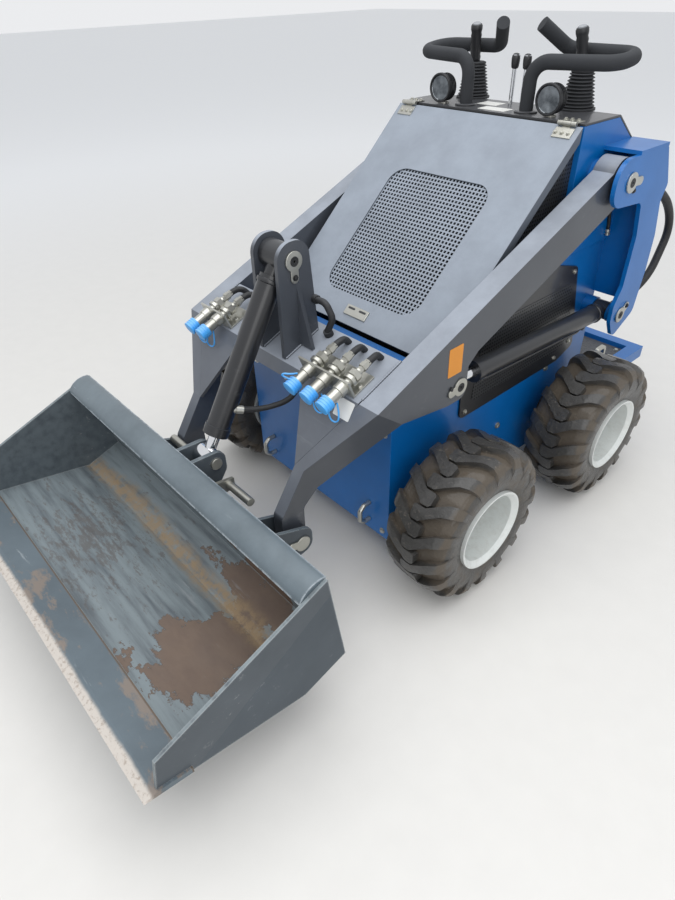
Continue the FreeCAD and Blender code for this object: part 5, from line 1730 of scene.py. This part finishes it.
@dataclass
class BucketLip:
    """Rounded roll along the top edge of the bucket's back."""

    front: Flat = (-0.7385, 0.4490)
    back: Flat = (-0.6690, 0.4790)
    half_width: float = 0.5395
    rise: float = 0.017
    fullness: float = 0.6
    steps: int = 12

    def build(self) -> None:
        """Builds the roll."""
        start, end = Vector((0, *self.front)), Vector((0, *self.back))
        way = end - start
        outward = Vector((0, -way.z, way.y)).normalized()
        shape = Shape()
        rings = []
        for x in (-self.half_width, self.half_width):
            ring = []
            for step in range(self.steps + 1):
                share = step / self.steps
                swell = math.sin(math.pi * share) ** self.fullness
                ring.append(start + way * share + outward * (self.rise * swell) + Vector((x, 0, 0)))
            rings.append(ring)
        shape.skin(rings)
        shape.finish("bucket_lip", "bucket", RUBBED_LIP_WITH_PAINTED_HIGHLIGHT, smooth=50.0)


@dataclass
class Chassis:
    """Bolts, plates, hoses and trim on the chassis."""

    look_x: float = 0.32
    look_y: float = -0.30
    look_z: float = 0.30
    panel_bolts: tuple[Flat, ...] = (
        (0.052, 0.420), (0.500, 0.420), (0.572, 0.455), (0.040, 0.660), (0.240, 0.706), (0.520, 0.700))
    body_bolts: tuple[Flat, ...] = ((0.241, 0.279), (0.471, 0.392))
    front_bolts: tuple[Flat, ...] = ((0.278, 0.470), (0.278, 0.130), (0.130, 0.470))
    step_bolts: tuple[Flat, ...] = ((0.270, 0.730), (0.270, 0.900), (0.270, 1.055))
    pivot_hose_x: float = 0.3145
    pivot_hose: tuple[Flat, ...] = (
        (0.448, 0.790), (0.455, 0.850), (0.500, 0.905), (0.590, 0.905), (0.645, 0.850), (0.652, 0.780))
    post_hose_x: float = 0.370
    # Each point of the post hose: its share of post_hose_x, its Y and its Z.
    post_hose: tuple[Point, ...] = (
        (0.8, 0.686, 0.905), (0.94, 0.760, 0.912), (1.0, 0.852, 0.863), (1.0, 0.930, 0.794),
        (1.0, 0.958, 0.728), (1.0, 0.935, 0.669), (1.0, 0.906, 0.609), (0.97, 0.858, 0.561),
        (0.9, 0.775, 0.520), (0.8, 0.686, 0.500))
    # Outline of the punched screen behind each side cover, and its inner and outer X.
    screen: tuple[Flat, ...] = (
        (0.075, 0.452), (0.088, 0.444), (0.500, 0.444), (0.560, 0.462), (0.566, 0.474), (0.520, 0.652),
        (0.508, 0.664), (0.110, 0.664), (0.096, 0.654))
    screen_x: Flat = (0.3052, 0.3070)
    edge_strip: tuple[Point, Point] = ((-0.296, 0.4066, 1.070), (0.296, 0.4108, 1.1035))

    def build(self) -> None:
        """Builds the chassis details."""
        for hand, side in SIDES:
            self._screen(hand, side)
            self._bolts(hand, side)
            points = tuple((self.pivot_hose_x * side, y, z) for y, z in self.pivot_hose)
            Hose(f"pivot_hose_{hand}", "chassis", points, radius=0.005, crimp=0.018).build()
            points = tuple((self.post_hose_x * side * share, y, z) for share, y, z in self.post_hose)
            Hose(f"post_hose_{hand}", "chassis", points, radius=0.0125, crimp=0.045).build()
            Bolts(f"step_bolts_{hand}", "chassis", DOWN, tuple(
                (x * side, y, self.look_z) for x, y in self.step_bolts), radius=0.007).build()
        Label("apron_strip", "chassis", (-0.001, -0.150, 0.75), DOWN, LEFTWARD,
              width=0.080, height=0.026, finish=YELLOW_LABEL).build()
        strip = Shape()
        strip.block(*self.edge_strip)
        strip.finish("hood_edge_strip", "chassis", SOFT_RUBBER)

    def _screen(self, hand: str, side: int) -> None:
        """The punched field of a side panel.

        Args:
            hand: Side of the machine, for its name.
            side: 1 on the left, -1 on the right.
        """
        shape = Shape()
        shape.skin([[Vector((x * side, y, z)) for y, z in self.screen] for x in self.screen_x])
        shape.finish(f"side_screen_{hand}", "chassis", PUNCHED)

    def _bolts(self, hand: str, side: int) -> None:
        """The bolts of the side cover, the body and the front panel.

        Args:
            hand: Side of the machine, for their names.
            side: 1 on the left, -1 on the right.
        """
        inward = (-side, 0, 0)
        Bolts(f"panel_bolts_{hand}", "chassis", inward, tuple(
            (self.look_x * side, y, z) for y, z in self.panel_bolts), radius=0.0055).build()
        Bolts(f"body_bolts_{hand}", "chassis", inward, tuple(
            (self.look_x * side, y, z) for y, z in self.body_bolts), radius=0.0075).build()
        Bolts(f"front_bolts_{hand}", "chassis", REARWARD, tuple(
            (x * side, self.look_y, z) for x, z in self.front_bolts), radius=0.0065).build()


@dataclass
class Hood:
    """Screws on the hood's ironwork, and thin black plates of painted shade for the latch slots."""

    screws_x: Point = (0.246, 0.264, 0.282)
    screw_radius: float = 0.0042
    deck_leaf_y: float = 0.424
    hood_leaf_y: float = 0.382
    look_z: float = 1.15
    slots_x: Flat = (-0.021, 0.021)

    def build(self) -> None:
        """Builds the hood details."""
        for hand, side in SIDES:
            self._screws(f"deck_hinge_screws_{hand}", "chassis", side, self.deck_leaf_y)
            self._screws(f"hood_hinge_screws_{hand}", "hood", side, self.hood_leaf_y)
        # Each latch slot is a thin black plate: painted shade where the slot opens.
        for index, x in enumerate(self.slots_x):
            Label(f"latch_slot_{index + 1}", "hood", (x, -0.12, 0.72), (0, 0.66, -0.75), LEFTWARD,
                  width=0.026, height=0.006, finish=PLASTIC, corner=0.0028, thick=0.0006).build()

    def _screws(self, name: str, body: str, side: int, y: float) -> None:
        """The screws of one hinge leaf, at its Y, on the left for side 1 and on the right for -1."""
        places = tuple((x * side, y, self.look_z) for x in self.screws_x)
        Bolts(name, body, DOWN, places, radius=self.screw_radius).build()


@dataclass
class Controls:
    """Lamps, grips, knobs and flanges on the control deck."""

    deck_z: float = 1.106
    lamp_x: float = 0.181
    lamp_front: float = 0.429
    lamp_height: float = 0.040
    lamp_radius: float = 0.038
    lamp_fins: tuple[float, ...] = (0.013, 0.019, 0.025, 0.031)
    bulb: tuple[Flat, ...] = ((0.0, 0.003), (0.001, 0.0085), (0.005, 0.0115), (0.012, 0.0118))
    lamp_foot: tuple[Flat, ...] = ((0, 0.016), (0.004, 0.016), (0.005, 0.009), (0.016, 0.009))
    lamp_foot_y: float = 0.452
    cup_inset: float = 0.0035
    bulb_inset: float = 0.006
    foot_sunk: float = 0.001
    joystick_x: float = 0.177
    boot_y: float = 0.585
    boot_sunk: float = 0.0005
    boot_base: float = 0.007
    boot_height: float = 0.082
    boot_wide: float = 0.0455
    boot_taper: float = 0.0145
    folds: int = 10
    grip_low: Point = (0.177, 0.580, 0.094)
    grip_high: Point = (0.168, 0.562, 0.180)
    grip_length: float = 0.0955
    button: tuple[Flat, ...] = ((0.0, 0.0115), (0.003, 0.0115), (0.005, 0.0085))
    levers_x: Flat = (-0.010, 0.028)
    lever_y: float = 0.545
    knob_foot: float = 0.088
    knob: tuple[Flat, ...] = (
        (0.0, 0.0065), (0.003, 0.0098), (0.012, 0.0112), (0.024, 0.0118), (0.031, 0.0108), (0.036, 0.0075),
        (0.0375, 0.003))
    look_z: float = 1.16
    bar_foot: Flat = (0.102, 0.458)
    bar_look_x: float = 0.140
    flange: tuple[Flat, ...] = ((0, 0.031), (0.0045, 0.031), (0.006, 0.0285))
    bolt_ring: float = 0.0255
    bolt_turns: Point = (0.5, 2.6, 4.7)
    # X, Y, width and height of each blank plate on the deck.
    labels: tuple[Spot, Spot] = ((-0.058, 0.520, 0.068, 0.052), (0.006, 0.452, 0.090, 0.046))

    def build(self) -> None:
        """Builds the controls' details."""
        self._lamps()
        self._grips()
        self._knobs()
        self._flanges()
        for index, (x, y, width, height) in enumerate(self.labels):
            Label(f"deck_label_{index + 1}", "chassis", (x, y, self.look_z), DOWN, LEFTWARD,
                  width=width, height=height, finish=WHITE_LABEL).build()

    def _housing(self) -> list[Flat]:
        """Profile of a lamp's housing.

        Returns:
            Distance from its front and radius of each ring.
        """
        r = self.lamp_radius
        profile = [(0.026, 0.008), (0.020, r - 0.014), (0.004, r - 0.006), (0.0, r - 0.0045),
                   (0.0, r - 0.001), (0.0015, r), (0.0085, r), (0.010, r - 0.003)]
        for fin in self.lamp_fins:
            end = fin + 0.003
            profile += [(fin, r - 0.007), (fin, r - 0.002), (end, r - 0.0025), (end, r - 0.007)]
        return profile + [(0.038, r - 0.010), (0.040, r - 0.016)]

    def _lamps(self) -> None:
        """Housings with fins, reflectors and lenses."""
        r = self.lamp_radius
        reflector = ((0.016, 0.007), (0.012, 0.013), (0.009, 0.014), (0.0085, r - 0.0165),
                     (0.005, r - 0.0155), (0.0045, r - 0.010), (0.0, r - 0.0062), (0.0012, r - 0.0058))
        height = self.deck_z + self.lamp_height
        housing, cup, lens, foot = Shape(), Shape(), Shape(), Shape()
        for _, side in SIDES:
            x = self.lamp_x * side
            housing.lathe((x, self.lamp_front, height), REARWARD, self._housing(), sides=44)
            cup.lathe((x, self.lamp_front + self.cup_inset, height), REARWARD, reflector, sides=18)
            lens.lathe((x, self.lamp_front + self.bulb_inset, height), REARWARD, self.bulb, sides=24)
            foot.lathe((x, self.lamp_foot_y, self.deck_z - self.foot_sunk), UP, self.lamp_foot, sides=20)
        made = housing.finish("lamp_housings", "chassis", PLASTIC, smooth=35.0)
        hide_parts("lamps")
        cup.finish("lamp_reflectors", "chassis", REFLECTOR, smooth=12.0)
        lens.finish("lamp_bulbs", "chassis", GLASS, smooth=50.0)
        foot.finish("lamp_feet", "chassis", ZINC, smooth=35.0)

    def _boot(self) -> list[Flat]:
        """Profile of a joystick's bellows.

        Returns:
            Height and radius of each ring.
        """
        profile = [(0.0, 0.050), (0.005, 0.050), (0.006, 0.044)]
        for fold in range(self.folds):
            wide = self.boot_wide - self.boot_taper * fold / self.folds
            level = self.boot_base + self.boot_height * fold / self.folds
            step = self.boot_height / self.folds
            profile += [(level, wide - 0.0055), (level + step * 0.35, wide), (level + step * 0.5, wide),
                        (level + step * 0.85, wide - 0.0058)]
        top = self.boot_base + self.boot_height
        return profile + [(top, 0.030), (top + 0.004, 0.030), (top + 0.006, 0.026), (top + 0.006, 0.011),
                          (top + 0.016, 0.0085)]

    @staticmethod
    def _grip() -> list[Flat]:
        """Profile of a hand grip.

        Returns:
            Distance along it and radius of each ring.
        """
        profile = [(0.0, 0.0115), (0.004, 0.0145)]
        for groove in range(5):
            profile += [(0.012 + groove * 0.014, 0.0158), (0.019 + groove * 0.014, 0.0142)]
        return profile + [(0.084, 0.0165), (0.092, 0.0165), (0.096, 0.014)]

    def _on_deck(self, place: Point, side: int) -> Vector:
        """Machine place of a point given by X, Y and height over the deck, on one side."""
        return Vector((place[0] * side, place[1], self.deck_z + place[2]))

    def _grips(self) -> None:
        """Bellows, and hand grips with finger grooves and button tops."""
        grips, tops, boots = Shape(), Shape(), Shape()
        for _, side in SIDES:
            foot = (self.joystick_x * side, self.boot_y, self.deck_z - self.boot_sunk)
            boots.lathe(foot, UP, self._boot(), sides=40)
            low = self._on_deck(self.grip_low, side)
            ahead = (self._on_deck(self.grip_high, side) - low).normalized()
            grips.lathe(low, ahead, self._grip(), sides=24)
            tops.lathe(low + ahead * self.grip_length, ahead, self.button, sides=20)
        made = boots.finish("joystick_boots", "chassis", SOFT_RUBBER, smooth=50.0)
        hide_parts("joysticks")
        grips.finish("joystick_grips", "chassis", PLASTIC, smooth=50.0)
        tops.finish("joystick_buttons", "chassis", BUTTON_GREY, smooth=40.0)

    def _knobs(self) -> None:
        """Round knobs over the levers' tops."""
        shape = Shape()
        for x in self.levers_x:
            shape.lathe((x, self.lever_y, self.deck_z + self.knob_foot), UP, self.knob, sides=24)
        shape.finish("lever_knobs", "chassis", PLASTIC, smooth=60.0)

    def _flanges(self) -> None:
        """Foot flanges of the grab bars with their bolts."""
        shape = Shape()
        bar_x, bar_y = self.bar_foot
        for hand, side in SIDES:
            spot = surface_at((self.bar_look_x * side, bar_y, self.look_z), DOWN)
            if spot is None:
                continue
            foot = Vector((bar_x * side, bar_y, spot[0].z))
            shape.lathe(foot - Vector((0, 0, self.foot_sunk)), spot[1], self.flange, sides=32)
            Bolts(f"bar_bolts_{hand}", "chassis", DOWN, tuple(
                (bar_x * side + self.bolt_ring * math.cos(a), bar_y + self.bolt_ring * math.sin(a), 1.14)
                for a in self.bolt_turns), radius=0.0035).build()
        shape.finish("bar_flanges", "chassis", BLACK, smooth=35.0)


@dataclass(frozen=True)
class PinEnd:
    """The dark middle of a pin in its keeper plate, with the keeper's screw."""

    name: str
    body: str
    side: int
    place: Flat
    screw: Flat
    radius: float = 0.012
    sunk: float = 0.0004
    look_x: float = 0.5
    screw_radius: float = 0.0052

    def build(self) -> None:
        """Builds both where they meet the keeper's face."""
        inward = (-self.side, 0, 0)
        spot = surface_at((self.look_x * self.side, *self.place), inward)
        if spot is None:
            return
        r = self.radius
        profile = ((0, r), (0.0010, r), (0.0016, r * 0.86), (0.0010, r * 0.7), (0.0010, 0.004),
                   (0.0004, 0.003))
        outward = Vector((self.side, 0, 0))
        shape = Shape()
        shape.lathe(spot[0] - outward * self.sunk, outward, profile, sides=28)
        shape.finish(self.name, self.body, CAST, smooth=30.0)
        Bolts(f"{self.name}_screw", self.body, inward, ((self.look_x * self.side, *self.screw),),
              radius=self.screw_radius, finish=CAST).build()


PIN_ENDS = (
    # name, body, place and screw of each pin in its keeper (Y, Z)
    ("post_pin", "chassis", (0.512, 0.968), (0.536, 0.944)),
    ("base_pin", "chassis", (0.652, 0.555), (0.676, 0.579)),
    ("lift_pin", "lift_arms", (-0.095, 0.600), (-0.129, 0.606)),
)


@dataclass
class Cylinders:
    """Rings, ports and pipes on the hydraulic cylinders."""

    tilt_top: Point = (0.0, -0.327, 0.890)
    tilt_foot: Point = (0.0, -0.605, 0.440)
    lift_base: Flat = (0.652, 0.555)
    lift_end: Flat = (-0.095, 0.600)
    lift_x: float = 0.356
    tilt_radius: float = 0.030
    lift_radius: float = 0.0265
    # Where the weld ring and the gland start, from the barrel's pin.
    tilt_rings: Flat = (0.058, 0.440)
    lift_rings: Flat = (0.052, 0.640)
    # Distance from the pin, and clearance of the pipe's middle from the barrel, at each of its points.
    pipe: tuple[Flat, ...] = (
        (0.115, 0.004), (0.128, 0.013), (0.150, 0.0145), (0.580, 0.0145), (0.602, 0.013), (0.615, 0.004))
    pipe_radius: float = 0.0042
    ports: Flat = (0.112, 0.618)
    port: tuple[Flat, ...] = ((0, 0.011), (0.009, 0.011), (0.010, 0.0085), (0.014, 0.0085))
    port_sunk: float = 0.003

    def build(self) -> None:
        """Builds each cylinder's rings, ports and pipe."""
        top, foot = Vector(self.tilt_top), Vector(self.tilt_foot)
        self._rings("tilt", top, foot - top, self.tilt_radius, self.tilt_rings)
        for hand, side in SIDES:
            base = Vector((self.lift_x * side, *self.lift_base))
            end = Vector((self.lift_x * side, *self.lift_end))
            self._rings(f"lift_{hand}", base, end - base, self.lift_radius, self.lift_rings, hand)
            self._pipe(hand, base, end - base)

    @staticmethod
    def _rings(name: str, base: Vector, along: Vector, radius: float, places: Flat, hand: str = "") -> None:
        """Adds the weld ring at the barrel's base and the gland at its head.

        Args:
            name: Name of the cylinder.
            base: The barrel's pin.
            along: From it to the rod's pin.
            radius: The barrel's radius.
            places: Where the ring and the gland start.
            hand: Side of the machine, where there are two such barrels.
        """
        ring = ((0, radius), (0.002, radius + 0.0028), (0.006, radius + 0.0034), (0.010, radius + 0.0026),
                (0.012, radius))
        gland = ((0, radius), (0.0015, radius + 0.003), (0.0165, radius + 0.003), (0.018, radius))
        ahead = along.normalized()
        shape = Shape()
        for place, profile in zip(places, (ring, gland)):
            shape.lathe(base + ahead * place, ahead, profile, sides=36)
        body = f"lift_barrel_{hand}" if hand else f"{name}_barrel"
        shape.finish(f"{name}_barrel_rings", body, CYLINDER, smooth=30.0)

    def _pipe(self, hand: str, base: Vector, along: Vector) -> None:
        """Adds the steel pipe that runs under a lift barrel, with its ports.

        Args:
            hand: Side of the machine.
            base: The barrel's pin.
            along: From it to the rod's pin.
        """
        ahead = along.normalized()
        under = Vector(DOWN) - ahead * Vector(DOWN).dot(ahead)
        under.normalize()
        depth = self.lift_radius
        line = [base + ahead * reach + under * (depth + gap) for reach, gap in self.pipe]
        shape = Shape()
        shape.bend(line, self.pipe_radius)
        for reach in self.ports:
            shape.lathe(base + ahead * reach + under * (depth - self.port_sunk), under, self.port, sides=16)
        shape.finish(f"lift_{hand}_barrel_pipe", f"lift_barrel_{hand}", CYLINDER, smooth=35.0)


@dataclass
class Studio:
    """Floor, light and the photograph's camera."""

    camera_place: Point = (1.1739, -1.1804, 1.4050)
    camera_turn: Point = (52.852, 1.385, 48.056)
    focal_pixels: float = 620.93
    image_height: float = 900.0
    sensor: float = 36.0
    clip_start: float = 0.05
    floor_reach: float = 30.0
    floor_colour: str = "dedcd8"
    floor_shade: float = 0.94
    floor_roughness: float = 0.75
    white_floor: Rgba = (0.97, 0.97, 0.97, 1.0)
    white_from: float = 1.5
    white_to: float = 6.0
    sky_light: Rgba = (0.93, 0.96, 1.0, 1.0)
    sky_strength: float = 0.72
    seen_sky: Rgba = (0.97, 0.98, 1.0, 1.0)
    seen_strength: float = 0.86
    # Name, place, turn in degrees, side and power of each panel of light.
    panels: tuple[tuple[str, Point, Point, float, float], ...] = (
        ("sky panel", (0.6, -0.6, 4.2), (8, 8, 0), 4.5, 135.0),
        ("side panel", (3.6, -2.6, 2.4), (62, 0, 54), 2.5, 38.0))

    def build(self) -> None:
        """Builds the studio."""
        self._floor()
        self._sky()
        self._panels()
        self._camera()

    def _floor_material(self) -> bpy.types.Material:
        """The floor's pale material.

        Returns:
            The material.
        """
        made = bpy.data.materials.new("pale floor")
        made.use_nodes = True
        graph = Graph(made.node_tree)
        sockets = made.node_tree.nodes["Principled BSDF"].inputs
        speckle = graph.noise(graph.rest(), scale=14.0, detail=5.0)
        light = opaque(self.floor_colour)
        near = graph.mix(speckle, shaded(light, self.floor_shade), light)
        away = graph.add("ShaderNodeVectorMath", {0: graph.rest()}, operation="LENGTH").outputs[1]
        far = graph.step(away, low=self.white_from, high=self.white_to)
        graph.feed(graph.mix(far, near, self.white_floor), sockets["Base Color"])
        sockets["Roughness"].default_value = self.floor_roughness
        return made

    def _floor(self) -> None:
        """A pale floor that shows white to the camera at its far end."""
        mesh = bpy.data.meshes.new("floor")
        reach = self.floor_reach
        corners = [(-reach, -reach, 0), (reach, -reach, 0), (reach, reach, 0), (-reach, reach, 0)]
        mesh.from_pydata(corners, [], [(0, 1, 2, 3)])
        floor = bpy.data.objects.new("floor", mesh)
        bpy.context.scene.collection.objects.link(floor)
        mesh.materials.append(self._floor_material())

    def _sky(self) -> None:
        """An even sky, white to the camera and in reflections."""
        world = bpy.data.worlds.new("studio sky")
        bpy.context.scene.world = world
        world.use_nodes = True
        background = world.node_tree.nodes["Background"]
        background.inputs["Color"].default_value = self.sky_light
        background.inputs["Strength"].default_value = self.sky_strength
        graph = Graph(world.node_tree)
        seen = graph.add("ShaderNodeBackground", {"Color": self.seen_sky, "Strength": self.seen_strength})
        rays = graph.add("ShaderNodeLightPath").outputs
        mirrored = graph.higher(rays["Is Glossy Ray"], rays["Is Transmission Ray"])
        share = graph.higher(rays["Is Camera Ray"], mirrored)
        both = graph.add("ShaderNodeMixShader", {0: share, 1: background.outputs[0], 2: seen.outputs[0]})
        graph.feed(both.outputs[0], world.node_tree.nodes["World Output"].inputs[0])

    def _panels(self) -> None:
        """One broad soft lamp above, and a smaller one at the side."""
        for name, place, turn, size, power in self.panels:
            lamp = bpy.data.lights.new(name, "AREA")
            lamp.shape = "SQUARE"
            lamp.size = size
            lamp.energy = power
            item = bpy.data.objects.new(name, lamp)
            item.location = place
            item.rotation_euler = Euler([math.radians(a) for a in turn])
            bpy.context.scene.collection.objects.link(item)

    def _camera(self) -> None:
        """The camera at the photograph's place."""
        scene = bpy.context.scene
        lens = bpy.data.cameras.new("camera")
        lens.sensor_width = self.sensor
        lens.lens = self.focal_pixels / self.image_height * self.sensor
        lens.clip_start = self.clip_start
        camera = bpy.data.objects.new("camera", lens)
        camera.location = self.camera_place
        camera.rotation_euler = Euler([math.radians(a) for a in self.camera_turn])
        scene.collection.objects.link(camera)
        scene.camera = camera
        scene.view_settings.view_transform = "Standard"


def main() -> None:
    """Builds the loader's looks in order."""
    logging.basicConfig(level=logging.INFO, format="%(message)s")
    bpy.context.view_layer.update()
    dress_nodes()
    Wheels().build()
    HoodGrille().build()
    for part in (Hood(), Chassis(), Controls(), LiftArms(), BucketLip(), Cylinders()):
        part.build()
    Studio().build()
    bpy.context.view_layer.update()


if __name__ == "__main__":
    main()
